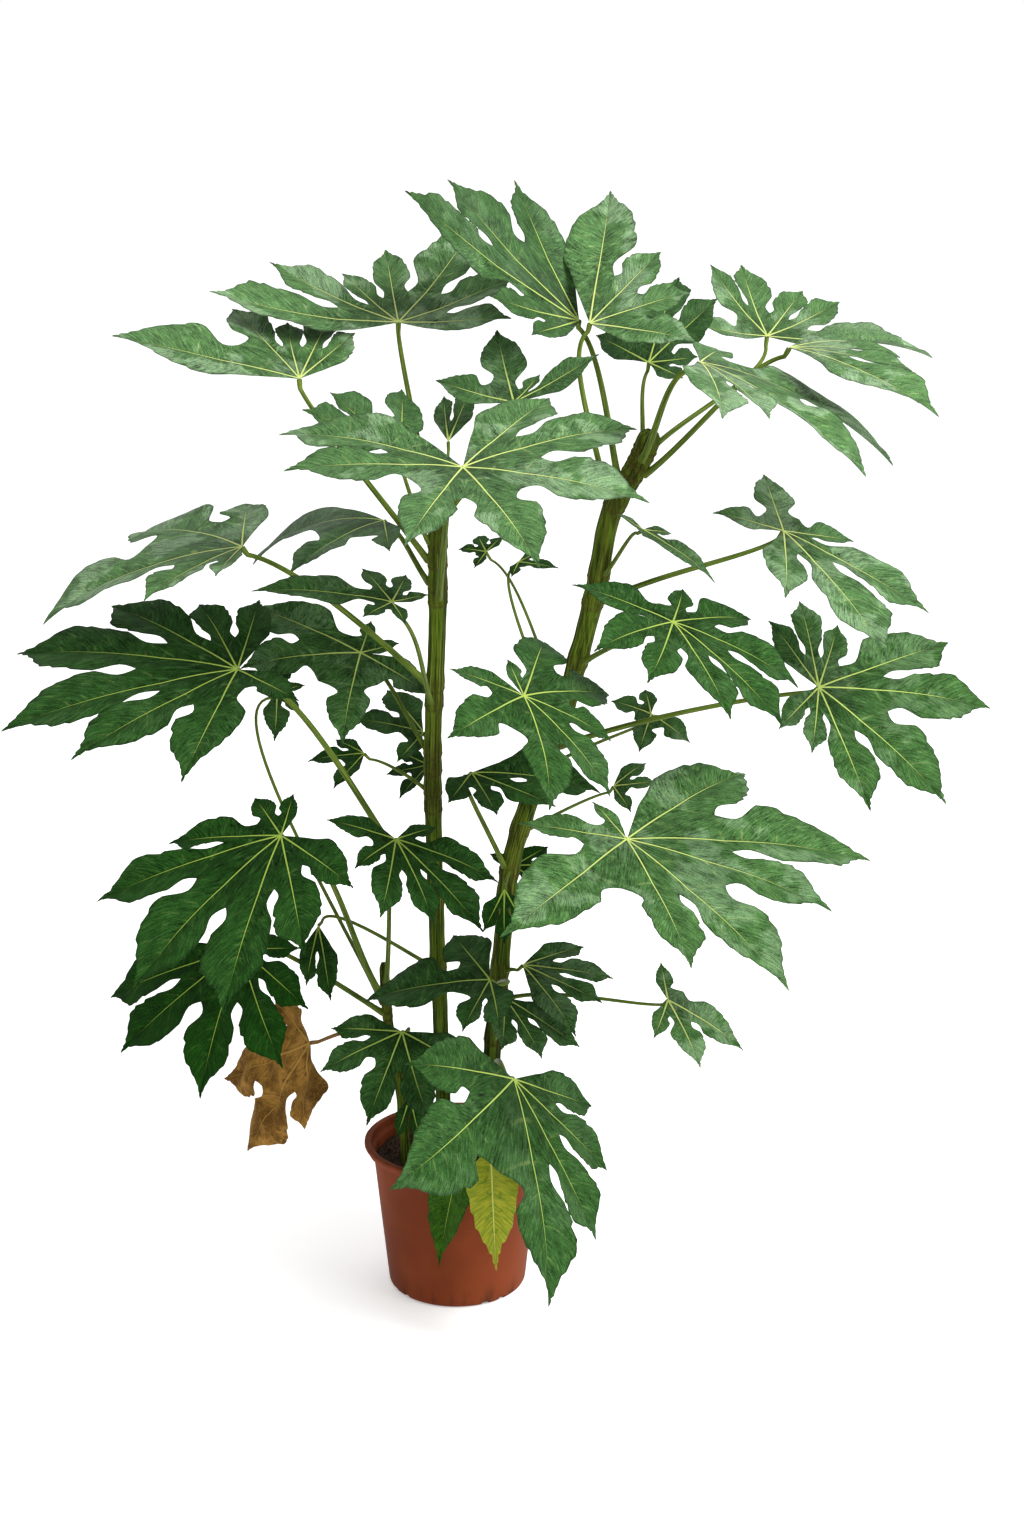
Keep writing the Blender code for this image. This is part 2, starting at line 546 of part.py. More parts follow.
def lobe_faces(root, left_notch, right_notch):
    """Triangles of the lobe whose places start at root, and its outline from the right notch to the left."""
    rows = range(len(LOBE_ROWS))
    middle = [root, *(root + 1 + 3 * j for j in rows)]
    left = [left_notch, *(root + 2 + 3 * j for j in rows)]
    right = [right_notch, *(root + 3 + 3 * j for j in rows)]
    tip = root + 1 + 3 * len(LOBE_ROWS)
    faces = [(0, right[0], middle[0]), (0, middle[0], left[0])]
    for j in rows:
        faces.append((right[j], right[j + 1], middle[j + 1]))
        faces.append((right[j], middle[j + 1], middle[j]))
        faces.append((middle[j], middle[j + 1], left[j + 1]))
        faces.append((middle[j], left[j + 1], left[j]))
    faces += [(right[-1], tip, middle[-1]), (middle[-1], tip, left[-1])]
    return faces, [*right[1:], tip, *left[::-1]]


def blade_top(reach, droop, lobes, notch, width):
    """Points, triangles and outline of the upper face in the blade's own axes. Point 0 is the hub."""
    angles = [math.radians(a) for a, _ in lobes]
    lengths = [reach * share for _, share in lobes]
    gaps = [OPEN_GAP, *np.diff(angles), OPEN_GAP]
    flat = [np.zeros(2), *notch_places(angles, lengths, notch)]
    lift = [0.0] * len(flat)
    faces = []
    outline = [1]
    for i, (angle, length) in enumerate(zip(angles, lengths)):
        more, edge = lobe_faces(len(flat), i + 2, i + 1)
        faces += more
        outline += edge
        for place, rise in lobe_places(angle, length, gaps[i], gaps[i + 1], notch, width):
            flat.append(place)
            lift.append(rise)
    points = bend(np.array(flat), reach, droop)
    points[:, 2] += lift
    return points, np.array(faces), [*outline, 0]


def thicken(points, faces, outline):
    """Closed blade: the upper face, the same face BLADE lower along its own slope, and the edge between."""
    normals = np.zeros_like(points)
    corners = points[faces]
    crosses = np.cross(corners[:, 1] - corners[:, 0], corners[:, 2] - corners[:, 0])
    for k in range(3):
        np.add.at(normals, faces[:, k], crosses)
    normals /= np.linalg.norm(normals, axis=1)[:, None]
    under = points - normals * BLADE
    count = len(points)
    edge = []
    for a, b in zip(outline, outline[1:] + outline[:1]):
        edge += [(a, a + count, b + count), (a, b + count, b)]
    return np.vstack([points, under]), [*faces.tolist(), *(faces[:, ::-1] + count).tolist(), *edge]


def petiole_path(foot, start, hub, axes, lobes, bow):
    """Petiole from its foot to the underside of the blade, in through the gap between the basal lobes."""
    gap = math.radians((lobes[0][0] + lobes[-1][0]) / 2 + 180)
    inward = axes @ np.array([math.cos(gap), math.sin(gap), 0.0])
    up = axes[:, 2]
    length = np.linalg.norm(hub - foot)
    near = hub - up * HUB_DEPTH + inward * HUB_ASIDE
    first = foot + start * length * FOOT_PULL + np.array(bow)
    second = near + inward * length * HUB_PULL - up * length * HUB_DROP + np.array(bow)
    samples = []
    for t in np.linspace(0, 1, PETIOLE_RINGS):
        s = 1 - t
        samples.append(s**3 * foot + 3 * s * s * t * first + 3 * s * t * t * second + t**3 * near)
    return [*samples, hub - up * HUB_SINK]


def petiole_tube(stem_name, height, hub, axes, reach, lobes, bow):
    """Tube that leaves the stem leaning upwards and runs on to the blade."""
    centre, direction, radius = stem_place(stem_name, height)
    towards = unit(hub - centre)
    outward = unit(towards - direction * np.dot(towards, direction))
    foot = centre + outward * (radius + FIT_GAP)
    start = unit(towards + LEAN_UP * direction + LEAN_OUT * outward)
    path = petiole_path(foot, start, hub, axes, lobes, bow)
    thick = PETIOLE_LEAST + PETIOLE_GROWTH * reach
    radii = [thick * (PETIOLE_FOOT if k == 0 else 1 - PETIOLE_TAPER * k) for k in range(len(path))]
    return tube(path, radii, PETIOLE_SIDES, outward, axes[:, 2])


def leaf_surface(name, hub_height):
    if name in COLOURED_LEAVES:
        label, tint = COLOURED_LEAVES[name]
        return material(label, tint, 0.6)
    if hub_height > DARK_BELOW:
        return material("leaf_light", GREEN_LIGHT, 0.45)
    return material("leaf_dark", GREEN_DARK, 0.45)


def make_leaf(row):
    name, stem_name, height, hub, turn, reach, droop, lobes = row[:8]
    own = row[8] if len(row) > 8 else {}
    surface = leaf_surface(name, hub[2])
    hub = np.array(hub)
    axes = blade_axes(*turn)
    notch = own.get("notch", NOTCH)
    width = own.get("width", LOBE_HALF_WIDTH)
    points, faces = thicken(*blade_top(reach, droop, lobes, notch, width))
    blade = new_object(name, hub + points @ axes.T, faces, surface)
    bow = own.get("bow", (0.0, 0.0, 0.0))
    tube_shape = petiole_tube(stem_name, height, hub, axes, reach, lobes, bow)
    petiole = new_object(f"petiole_{name}", *tube_shape, surface, helper=True)
    add_boolean(blade, petiole, "UNION")
    return blade


def main():
    clear_scene()
    make_pot()
    make_soil()
    for name in STEMS:
        make_stem(name)
    for row in LEAVES:
        make_leaf(row)


main()
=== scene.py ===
"""Looks of a fatsia in its plastic nursery pot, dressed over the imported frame, in metres, +Z up."""

import collections
import math

import bpy
import numpy as np
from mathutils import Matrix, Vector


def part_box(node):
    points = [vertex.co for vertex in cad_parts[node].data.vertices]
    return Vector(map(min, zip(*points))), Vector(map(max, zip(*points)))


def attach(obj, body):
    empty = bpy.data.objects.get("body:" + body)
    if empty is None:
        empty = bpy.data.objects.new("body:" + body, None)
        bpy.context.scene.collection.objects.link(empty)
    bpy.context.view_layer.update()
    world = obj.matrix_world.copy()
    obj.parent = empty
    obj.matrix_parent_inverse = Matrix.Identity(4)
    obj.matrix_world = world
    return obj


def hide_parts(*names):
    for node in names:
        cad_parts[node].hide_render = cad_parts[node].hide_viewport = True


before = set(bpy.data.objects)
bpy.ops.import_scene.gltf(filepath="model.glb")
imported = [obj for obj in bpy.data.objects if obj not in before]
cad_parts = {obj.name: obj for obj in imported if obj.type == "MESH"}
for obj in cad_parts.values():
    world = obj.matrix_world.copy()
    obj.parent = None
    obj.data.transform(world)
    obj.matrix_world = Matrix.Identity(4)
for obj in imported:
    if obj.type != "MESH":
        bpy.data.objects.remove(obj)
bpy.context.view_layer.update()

# Camera: the photograph's frame, the place in the room and the tilt below level in degrees.
PHOTO_HEIGHT = 1536
SENSOR = 36.0
CAMERA_PLACE = (0.0632, -2.6, 1.3118)
CAMERA_TILT = 15.08
FOCAL_PIXELS = 2459.0

# Room: the floor's half width and glow, the white all round, and the lamp's place, aim, width and power.
FLOOR_HALF = 40.0
FLOOR_WHITE = (0.95, 0.95, 0.95, 1.0)
FLOOR_GLOW = 0.26
ROOM_WHITE = (1.0, 1.0, 1.0, 1.0)
LAMP_PLACE = (2.0, -2.0, 2.9)
LAMP_AIM = (0.05, 0.0, 0.7)
LAMP_WIDTH = 2.0
LAMP_POWER = 220.0

# Pot: wall, collar and foot; its height and rim come from the frame.
POT_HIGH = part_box("pot")[1]
POT_HEIGHT = POT_HIGH.z
RIM_RADIUS = POT_HIGH.x
FOOT_RADIUS = 0.078
WALL = 0.0022
FLOOR = 0.004
COLLAR_HEIGHT = 0.012
COLLAR_STEP = 0.010
COLLAR_FLARE = 0.004
BEAD = 0.002
LIP = 0.0075
FOOT_ROUNDING = 0.008
ROUNDING_STEPS = 6
POT_SIDES = 160
DRAIN_WIDTH = 0.010
DRAIN_HEIGHT = 0.005
DRAIN_PAIRS = 4
DRAIN_FIRST_ANGLE = -64.0
DRAIN_PAIR_ANGLE = 16.0

# Soil: the ball of roots and earth, and the lumps on its top.
SOIL_TOP = 0.154
SOIL_GAP = 0.0003
SOIL_EDGE = 0.002
SOIL_SIDES = 150
SOIL_RINGS = 60
LUMPS = 240
LUMP_SIZES = (0.0012, 0.0038)
LUMP_SEED = 77

# Stems: radius at the foot and at the top, and points of the centre line.
Stem = collections.namedtuple("Stem", "foot_radius top_radius points")
STEMS = {
    "stem_left": Stem(0.0082, 0.0098, (
        (-0.012, 0.012, 0.08), (-0.016, 0.012, 0.25), (-0.022, 0.012, 0.46),
        (-0.024, 0.012, 0.62), (-0.018, 0.012, 0.76), (-0.016, 0.012, 0.905),
    )),
    "stem_right": Stem(0.0092, 0.0112, (
        (0.022, 0.0, 0.08), (0.034, 0.0, 0.20), (0.050, 0.0, 0.38), (0.066, 0.0, 0.52), (0.120, 0.0, 0.68),
        (0.153, 0.0, 0.81), (0.168, 0.0, 0.89), (0.197, 0.0, 0.945), (0.209, 0.0, 0.973),
    )),
    "stem_short": Stem(0.0062, 0.0050, (
        (-0.055, -0.022, 0.08), (-0.060, -0.022, 0.22), (-0.074, -0.020, 0.31), (-0.079, -0.020, 0.385),
    )),
}
STEM_SIDES = 40
STEM_RINGS = 420
# Beyond the last point: how far, and the share of the radius that is left there.
STEM_END = np.array([(0.004, 0.82), (0.008, 0.5)])
NODE_LENGTH = 0.010
NODE_SWELLING = 0.13

# Bark: shares of the radius by which it is raised, and where a scar and a sheath lie under a petiole.
FLUTES = 0.022
KNOBS = 0.018
SCARS = 0.07
SCAR_BELOW = 0.006
SCAR_TILT = 0.004
SCAR_WIDTH = 0.0016
SHEATH_BELOW = 0.001
SHEATH_WIDTH = 0.006

# Blade: how a lobe's outline runs from its notch to its tip, in shares of the lobe's length.
NOTCH = 0.42
ROOT = 0.95
LOBE_HALF_WIDTH = 0.20
WIDEST = (0.30, 1.0)
NARROWER = (0.66, 0.74)
OUTLINE_KNOTS = (0.0, 0.03, 0.12, WIDEST[0], 0.48, NARROWER[0], 0.87, 1.0)
GAP_SHARE = 0.92
WIDEST_GAP = 1.2
OPEN_GAP = 2.0
BASAL_NOTCH = 0.24
BASAL_SPREAD = 24.0
NECK = 0.84
NECK_MOST = 0.125
OUTER_NECK = 0.35
OUTER_SHOULDER = 0.1
NEAR_TIP = 0.26
TOOTH = 0.017
SWAY = 0.035
SWEEP = 1.25

# Blade: heights over its flat plan, most of them in shares of a half width, and its thickness.
CUP = 8.0
FOLD = 0.10
ROOT_SINK = 0.02
ARCH = 0.22
WAVE = 0.085
WAVE_TURN = 8.5
QUILT = 0.030
TIP_DROOP = (0.01, 0.055)
CRUMPLE = 0.0035
CURL = 0.55
BLADE = 0.0006
RIB = 0.0011
RIB_WIDTH = 0.1
RIDGE = 0.0004
LEAF_SEED = 400

# Blade: rows from the hub to a lobe, along a lobe and between side veins, and columns from midrib to side.
PALM_ROWS = 8
LOBE_ROWS = 36
ROWS_A_VEIN = 4
COLUMNS = (0.0, 0.045, 0.12, 0.26, 0.45, 0.66, 0.85, 1.0)
PALM_SHARES = np.linspace(0, 1, PALM_ROWS + 1)[:-1]
LOBE_SHARES = np.linspace(0, 1, LOBE_ROWS + 1)
VEIN_NUMBERS = np.arange(PALM_ROWS + LOBE_ROWS + 1)[:, None] / ROWS_A_VEIN

# Petioles: radius, and how they leave the stem and reach the blade, in shares of their length.
PETIOLE_LEAST = 0.0016
PETIOLE_GROWTH = 0.0085
PETIOLE_SIDES = 12
PETIOLE_RINGS = 30
LEAN_OUT = 0.35
LEAN_UP = 0.5
FOOT_PULL = 0.30
FOOT_DEPTH = 0.004
HUB_PULL = 0.18
HUB_DROP = 0.06
HUB_DEPTH = 0.010
HUB_ASIDE = 0.004
HUB_ENDS = (0.001, 0.0012)

# One leaf a row: name, tone from 0 dark to 1 pale, partly the leaf's own and partly painted light and shade
# by where the leaf sits, stem, height of the petiole's foot, hub, (heading, dip, roll) in degrees, reach of
# the longest lobe, droop in degrees over that reach, (angle, share of the reach) a lobe, and what the leaf
# has of
# its own: a notch, a lobe half width, or a bow of its petiole.
Leaf = collections.namedtuple("Leaf", "name tone stem foot hub turn reach droop lobes own", defaults=[{}])
LEAVES = [Leaf(*row) for row in (
    ("leaf_crown_left", 0.9, "stem_left", 0.882, (-0.06, 0.1, 1.085), (95, -30, 0), 0.21, -15,
     ((-100, 0.6), (-70, 0.7), (-35, 0.85), (5, 0.55), (40, 0.45), (65, 0.75), (95, 1)),
     {"bow": (0, 0.05, 0)}),
    ("leaf_high_left", 0.9, "stem_left", 0.84, (-0.16, 0, 1.035), (150, -20, -15), 0.2, 4,
     ((-84, 0.55), (-66, 0.7), (-42, 0.5), (-20, 0.7), (32, 1)), {"notch": 0.55, "width": 0.22}),
    ("leaf_crown_centre", 0.4, "stem_right", 0.925, (0.135, 0.06, 1.09), (125, -50, 0), 0.24, -12,
     ((10, 0.7), (38, 0.85), (54, 1), (80, 0.5), (105, 0.35)), {"notch": 0.6, "width": 0.17}),
    ("leaf_crown_right", 0.9, "stem_right", 0.905, (0.145, 0.025, 1.09), (60, -40, 10), 0.2, 12,
     ((-90, 0.6), (-55, 0.55), (-20, 0.6), (14, 1)), {"notch": 0.55, "width": 0.2}),
    ("leaf_crown_under", 0.25, "stem_right", 0.966, (0.21, 0.065, 1.045), (75, -45, 0), 0.12, 10,
     ((-118, 0.4), (-84, 0.45), (-36, 0.9), (-6, 1), (62, 0.6)), {"notch": 0.5, "width": 0.26}),
    ("leaf_high_right_back", 0.85, "stem_right", 0.96, (0.345, 0.145, 1.066), (90, -25, 10), 0.15, -12,
     ((-94, 1), (-52, 0.75), (-26, 0.65), (14, 0.8), (34, 0.8), (108, 0.6)), {"width": 0.22}),
    ("leaf_high_right_end", 1.0, "stem_right", 0.94, (0.35, -0.03, 1.07), (-10, 5, 10), 0.2, 30,
     ((-32, 0.95), (-6, 0.65), (18, 0.6), (42, 1)), {"notch": 0.5, "width": 0.24, "bow": (0, 0.02, 0)}),
    ("leaf_high_right_front", 0.95, "stem_right", 0.952, (0.253, -0.1, 1.062), (-10, 20, 5), 0.25, 35,
     ((-70, 0.6), (-44, 0.5), (-18, 0.85), (24, 1), (84, 0.35)), {"notch": 0.5, "width": 0.24}),
    ("leaf_upper_back", 0.5, "stem_left", 0.89, (0.065, 0, 1.01), (70, -35, 0), 0.11, -5,
     ((-52, 0.95), (-28, 0.4), (26, 1), (82, 0.85)), {"width": 0.22}),
    ("leaf_upper_young", 0.6, "stem_left", 0.898, (-0.005, 0.03, 0.965), (85, -40, 0), 0.075, 5,
     ((-15, 1), (10, 0.85))),
    ("leaf_upper_front", 0.85, "stem_left", 0.8, (0.015, -0.2, 0.97), (-70, 25, 5), 0.22, 25,
     ((-130, 0.9), (-105, 0.8), (-40, 0.65), (10, 0.75), (65, 0.85), (105, 1), (130, 0.8))),
    ("leaf_upper_left_back", 0.4, "stem_left", 0.86, (-0.055, -0.005, 0.96), (135, -50, 0), 0.12, 8,
     ((-32, 0.7), (38, 0.8), (60, 1)), {"notch": 0.5, "width": 0.3}),
    ("leaf_middle_left_high", 0.9, "stem_left", 0.705, (-0.22, -0.05, 0.865), (175, 10, -15), 0.23, 30,
     ((-85, 0.55), (-45, 0.9), (5, 1), (40, 0.55), (75, 0.3)), {"notch": 0.58, "width": 0.22}),
    ("leaf_upper_left_arching", 0.45, "stem_left", 0.815, (-0.075, 0.03, 0.88), (-140, 15, -5), 0.19, 50,
     ((-65, 1), (-10, 0.65), (55, 0.4)), {"notch": 0.6, "width": 0.22}),
    ("leaf_middle_left_small", 0.45, "stem_left", 0.685, (-0.06, -0.12, 0.82), (-175, -10, -20), 0.145, 25,
     ((-150, 0.3), (-105, 0.4), (-60, 0.45), (0, 1), (55, 0.35), (110, 0.3))),
    ("leaf_middle_left_large", 0.2, "stem_left", 0.46, (-0.225, -0.08, 0.74), (-180, 5, -25), 0.27, 25,
     ((-100, 0.45), (-70, 0.5), (-45, 0.8), (-20, 1), (10, 0.95), (35, 0.75), (75, 0.65), (135, 0.35))),
    ("leaf_middle_left_inner", 0.5, "stem_left", 0.63, (-0.105, 0.07, 0.725), (-170, 5, -40), 0.15, 25,
     ((-175, 0.3), (-115, 0.3), (-40, 1), (-5, 0.9), (70, 0.8), (135, 0.65)), {"notch": 0.52}),
    ("leaf_behind_left_stem", 0.3, "stem_left", 0.61, (-0.035, 0.045, 0.64), (-180, 0, -30), 0.09, 25,
     ((-60, 1), (-20, 0.95), (60, 0.6)), {"width": 0.24}),
    ("leaf_middle_front", 0.3, "stem_right", 0.648, (0.075, -0.2, 0.74), (-30, 35, 5), 0.15, 30,
     ((-140, 0.55), (-90, 0.85), (-35, 0.95), (0, 0.9), (35, 0.7), (75, 0.95), (115, 1), (150, 0.35)),
     {"notch": 0.5}),
    ("leaf_inner_dark", 0.2, "stem_right", 0.5, (0.02, -0.07, 0.625), (-65, 30, 0), 0.15, 25,
     ((-46, 0.4), (4, 0.45), (50, 0.65), (78, 1)), {"width": 0.27}),
    ("leaf_middle_right_inner", 0.25, "stem_right", 0.735, (0.23, -0.1, 0.795), (5, 20, 25), 0.16, 25,
     ((-135, 0.75), (-100, 0.7), (-60, 0.85), (-35, 1), (-5, 0.95), (35, 0.7), (80, 0.4), (175, 0.7)),
     {"width": 0.22}),
    ("leaf_right_high", 0.8, "stem_right", 0.8, (0.355, 0.02, 0.87), (0, 15, 25), 0.2, 20,
     ((-86, 0.6), (-52, 1), (-24, 0.9), (8, 0.4), (106, 0.5), (182, 0.4)),
     {"notch": 0.38, "width": 0.23}),
    ("leaf_right_far", 0.5, "stem_right", 0.64, (0.4, 0.03, 0.695), (-5, 15, 40), 0.2, 20,
     ((-115, 0.4), (-85, 0.45), (-60, 0.8), (-30, 0.95), (15, 1), (40, 0.9), (85, 0.45), (110, 0.6),
      (135, 0.5))),
    ("leaf_right_slender", 0.7, "stem_right", 0.83, (0.2, -0.06, 0.885), (-5, 35, 20), 0.096, 20,
     ((-166, 0.35), (6, 1), (42, 0.4)), {"width": 0.17}),
    ("leaf_inner_small", 0.6, "stem_right", 0.615, (0.22, 0.09, 0.65), (-100, 35, -5), 0.057, 25,
     ((-164, 0.7), (-110, 0.9), (-8, 0.95), (56, 1)), {"width": 0.26}),
    ("leaf_inner_least", 0.6, "stem_right", 0.545, (0.175, 0.02, 0.585), (-5, 0, 30), 0.055, 20,
     ((-60, 0.8), (10, 0.9), (50, 1))),
    ("leaf_right_front_large", 0.7, "stem_right", 0.45, (0.18, -0.2, 0.59), (-60, 25, -5), 0.3, 20,
     ((-170, 0.2), (-105, 0.4), (-60, 0.8), (-10, 0.65), (15, 0.8), (55, 0.75), (80, 1), (115, 0.8)),
     {"notch": 0.5, "width": 0.17}),
    ("leaf_right_low", 0.75, "stem_right", 0.345, (0.235, -0.05, 0.36), (-20, 20, 30), 0.1, 20,
     ((-80, 0.55), (-40, 0.9), (-5, 1), (125, 0.5))),
    ("leaf_low_left_large", 0.1, "stem_short", 0.355, (-0.18, -0.12, 0.57), (-155, 25, -20), 0.23, 20,
     ((-135, 0.25), (-95, 0.3), (-40, 0.55), (-20, 0.9), (15, 1), (45, 1), (70, 0.75), (100, 0.55)),
     {"notch": 0.48}),
    ("leaf_low_left_under", 0.0, "stem_short", 0.335, (-0.235, -0.05, 0.42), (-125, 50, 0), 0.18, 20,
     ((-60, 1), (-35, 1), (10, 0.95), (45, 0.9), (70, 0.7), (100, 0.45))),
    ("leaf_dry_brown", 0.0, "stem_short", 0.315, (-0.165, 0, 0.29), (-130, 70, 0), 0.15, 10,
     ((-118, 0.47), (-57, 0.9), (-20, 1), (12, 0.65)), {"notch": 0.6, "width": 0.26}),
    ("leaf_low_centre", 0.15, "stem_short", 0.372, (-0.06, -0.1, 0.56), (-70, 35, 0), 0.14, 25,
     ((-118, 0.55), (-60, 0.45), (-22, 0.75), (8, 0.8), (28, 1), (58, 0.85), (102, 0.35))),
    ("leaf_low_front", 0.25, "stem_short", 0.27, (-0.055, -0.12, 0.35), (-110, 45, 0), 0.11, 20,
     ((-85, 0.75), (-55, 0.9), (-5, 1), (30, 1), (70, 1))),
    ("leaf_low_middle", 0.25, "stem_right", 0.36, (0.04, -0.15, 0.42), (-150, 25, -5), 0.16, 25,
     ((-100, 0.7), (-50, 1), (35, 0.5), (65, 0.55)), {"width": 0.24}),
    ("leaf_low_behind", 0.0, "stem_right", 0.47, (0.065, 0.06, 0.48), (-5, 10, 35), 0.058, 20,
     ((-26, 0.85), (18, 1), (48, 0.9), (160, 0.55)), {"width": 0.24}),
    ("leaf_low_over_stem", 0.05, "stem_right", 0.495, (0.055, -0.04, 0.485), (-95, 55, 0), 0.062, 20,
     ((-22, 0.85), (2, 1), (30, 0.8)), {"width": 0.24}),
    ("leaf_low_right", 0.55, "stem_right", 0.38, (0.075, -0.02, 0.39), (-10, 15, 25), 0.11, 20,
     ((-40, 1), (-10, 0.9), (15, 0.95), (45, 0.75))),
    ("leaf_low_right_under", 0.45, "stem_right", 0.3, (0.055, -0.07, 0.37), (-50, 40, 0), 0.1, 20,
     ((-34, 0.7), (4, 0.8), (36, 1)), {"width": 0.28}),
    ("leaf_over_pot_large", 0.3, "stem_right", 0.262, (0.065, -0.18, 0.32), (-45, 60, -10), 0.24, 15,
     ((-110, 0.7), (-75, 1), (-15, 1), (10, 0.8), (35, 0.65), (60, 0.5)), {"notch": 0.5}),
    ("leaf_ageing", 0.0, "stem_right", 0.232, (0.04, -0.15, 0.26), (-85, 80, 0), 0.165, 8,
     ((-60, 0.35), (0, 1), (60, 0.35)), {"notch": 0.2, "width": 0.17}),
    ("leaf_over_pot_small", 0.0, "stem_right", 0.215, (0.015, -0.13, 0.25), (-110, 80, 25), 0.17, 8,
     ((-60, 0.3), (-8, 1), (40, 0.2)), {"width": 0.2}),
    ("leaf_pot_mouth", 0.1, "stem_short", 0.215, (-0.05, -0.06, 0.25), (-95, 70, 0), 0.05, 10,
     ((-15, 0.95), (15, 1))),
    ("leaf_low_left_small", 0.15, "stem_left", 0.38, (-0.15, -0.03, 0.44), (-110, 70, 0), 0.085, 10,
     ((-5, 0.8), (20, 1))),
    ("leaf_inner_upper", 0.2, "stem_right", 0.69, (0.035, 0.06, 0.84), (145, -5, -25), 0.04, 20,
     ((-90, 0.8), (-40, 1), (5, 0.9), (100, 0.75)), {"width": 0.24}),
    ("leaf_inner_slender", 0.2, "stem_right", 0.668, (0.07, 0, 0.84), (-25, 10, 20), 0.045, 15,
     ((-75, 0.7), (10, 1), (65, 0.65))),
    ("leaf_inner_left", 0.1, "stem_left", 0.585, (-0.1, 0.03, 0.62), (-180, 10, -25), 0.065, 15,
     ((-45, 0.7), (-5, 1), (55, 0.95))),
    ("leaf_inner_left_small", 0.15, "stem_left", 0.567, (-0.03, 0.055, 0.6), (-180, 25, -25), 0.055, 10,
     ((-55, 0.9), (-15, 0.95), (40, 1))),
    ("leaf_middle_left_hidden", 0.4, "stem_short", 0.344, (-0.195, 0.03, 0.69), (-15, 20, 25), 0.075, 15,
     ((-65, 1), (-25, 0.55), (50, 0.45), (105, 0.7))),
)]

# Leaves with a finish of their own, and the height below which a leaf is of the dark kind.
AGEING = "leaf_ageing"
DRIED = "leaf_dry_brown"
FRESH = "leaf_over_pot_small"
DARK_BELOW = 0.86

# Half width of a main vein at the hub, by finish.
LEAF_VEIN_WIDTH = 0.00120
AGEING_VEIN_WIDTH = 0.0016
DRIED_VEIN_WIDTH = 0.0018

# Colours of a leaf: its darkest and palest skin, between which its tone runs, partly painted light and shade;
# the bluish painted sheen, which also tints the underside; and its main veins.
LEAF_DEEP = (0.005, 0.030, 0.002)
LEAF_FRESH = (0.020, 0.065, 0.003)
LEAF_PALE = (0.050, 0.116, 0.034)
LEAF_UNDERSIDE_AND_PAINTED_SHEEN_DEEP = (0.040, 0.125, 0.022)
LEAF_UNDERSIDE_AND_PAINTED_SHEEN = (0.185, 0.270, 0.160)
LEAF_VEIN_DEEP = (0.220, 0.330, 0.045)
LEAF_VEIN = (0.430, 0.500, 0.160)

# Colours of the ageing leaf and of the dried one.
AGEING_OLIVE = (0.13, 0.18, 0.008)
AGEING_YELLOW = (0.30, 0.30, 0.020)
AGEING_SPECK = (0.05, 0.12, 0.006)
AGEING_VEIN = (0.50, 0.55, 0.14)
AGEING_TIP = (0.22, 0.12, 0.03)
DRIED_BROWN = (0.095, 0.045, 0.008)
DRIED_TAN = (0.26, 0.135, 0.028)
DRIED_STROKE = (0.05, 0.022, 0.004)
DRIED_LINE = (0.38, 0.23, 0.06)
DRIED_VEIN = (0.36, 0.21, 0.05)

# Colours of the petioles (dark and pale streaks) and of the bark, with painted shade for its grooves and a
# painted highlight for its ridges.
PETIOLE_STREAKS = ((0.024, 0.048, 0.003), (0.105, 0.150, 0.017))
DRIED_STREAKS = ((0.10, 0.05, 0.015), (0.22, 0.13, 0.04))
PETIOLE_FOOT = (0.10, 0.075, 0.018)
BARK_DARK = (0.015, 0.028, 0.002)
BARK_GREEN = (0.075, 0.115, 0.009)
BARK_BROWN = (0.060, 0.052, 0.008)
BARK_GROOVE_PAINTED_SHADE = (0.007, 0.011, 0.001)
BARK_RIDGE_PAINTED_HIGHLIGHT = (0.150, 0.185, 0.028)
BARK_SCAR = (0.045, 0.036, 0.007)

# Colours of the pot and of the soil.
POT_DEEP = (0.105, 0.021, 0.006)
POT_BRIGHT = (0.160, 0.034, 0.010)
POT_SCUFF = (0.26, 0.08, 0.035)
POT_DUST = (0.045, 0.018, 0.010)
SOIL_BLACK = (0.010, 0.006, 0.004)
SOIL_BROWN = (0.060, 0.034, 0.020)
SOIL_FIBRE = (0.11, 0.065, 0.035)
SOIL_GRAIN = (0.16, 0.12, 0.08)

# Places of a mesh that are nearer than this are one.
WELD = 1e-6


class Socket:
    """An output of a material's node, on which arithmetic adds the nodes that work it out."""

    def __init__(self, finish, output):
        self.finish = finish
        self.output = output

    def maths(self, operation, *values):
        return self.finish.node("ShaderNodeMath", {"operation": operation}, dict(enumerate(values)))

    def __add__(self, other):
        return self.maths("ADD", self, other)

    def __sub__(self, other):
        return self.maths("SUBTRACT", self, other)

    def __rsub__(self, other):
        return self.maths("SUBTRACT", other, self)

    def __mul__(self, other):
        return self.maths("MULTIPLY", self, other)

    def __truediv__(self, other):
        return self.maths("DIVIDE", self, other)

    def __abs__(self):
        return self.maths("ABSOLUTE", self)

    __radd__ = __add__
    __rmul__ = __mul__

    def between(self, low, high):
        """Rises smoothly from 0 at low to 1 at high, and falls where low is the greater."""
        settings = {"interpolation_type": "SMOOTHSTEP"}
        return self.finish.node("ShaderNodeMapRange", settings, {0: self, 1: low, 2: high})

    def part(self, axis):
        return self.finish.node("ShaderNodeSeparateXYZ", {}, {0: self}, axis)


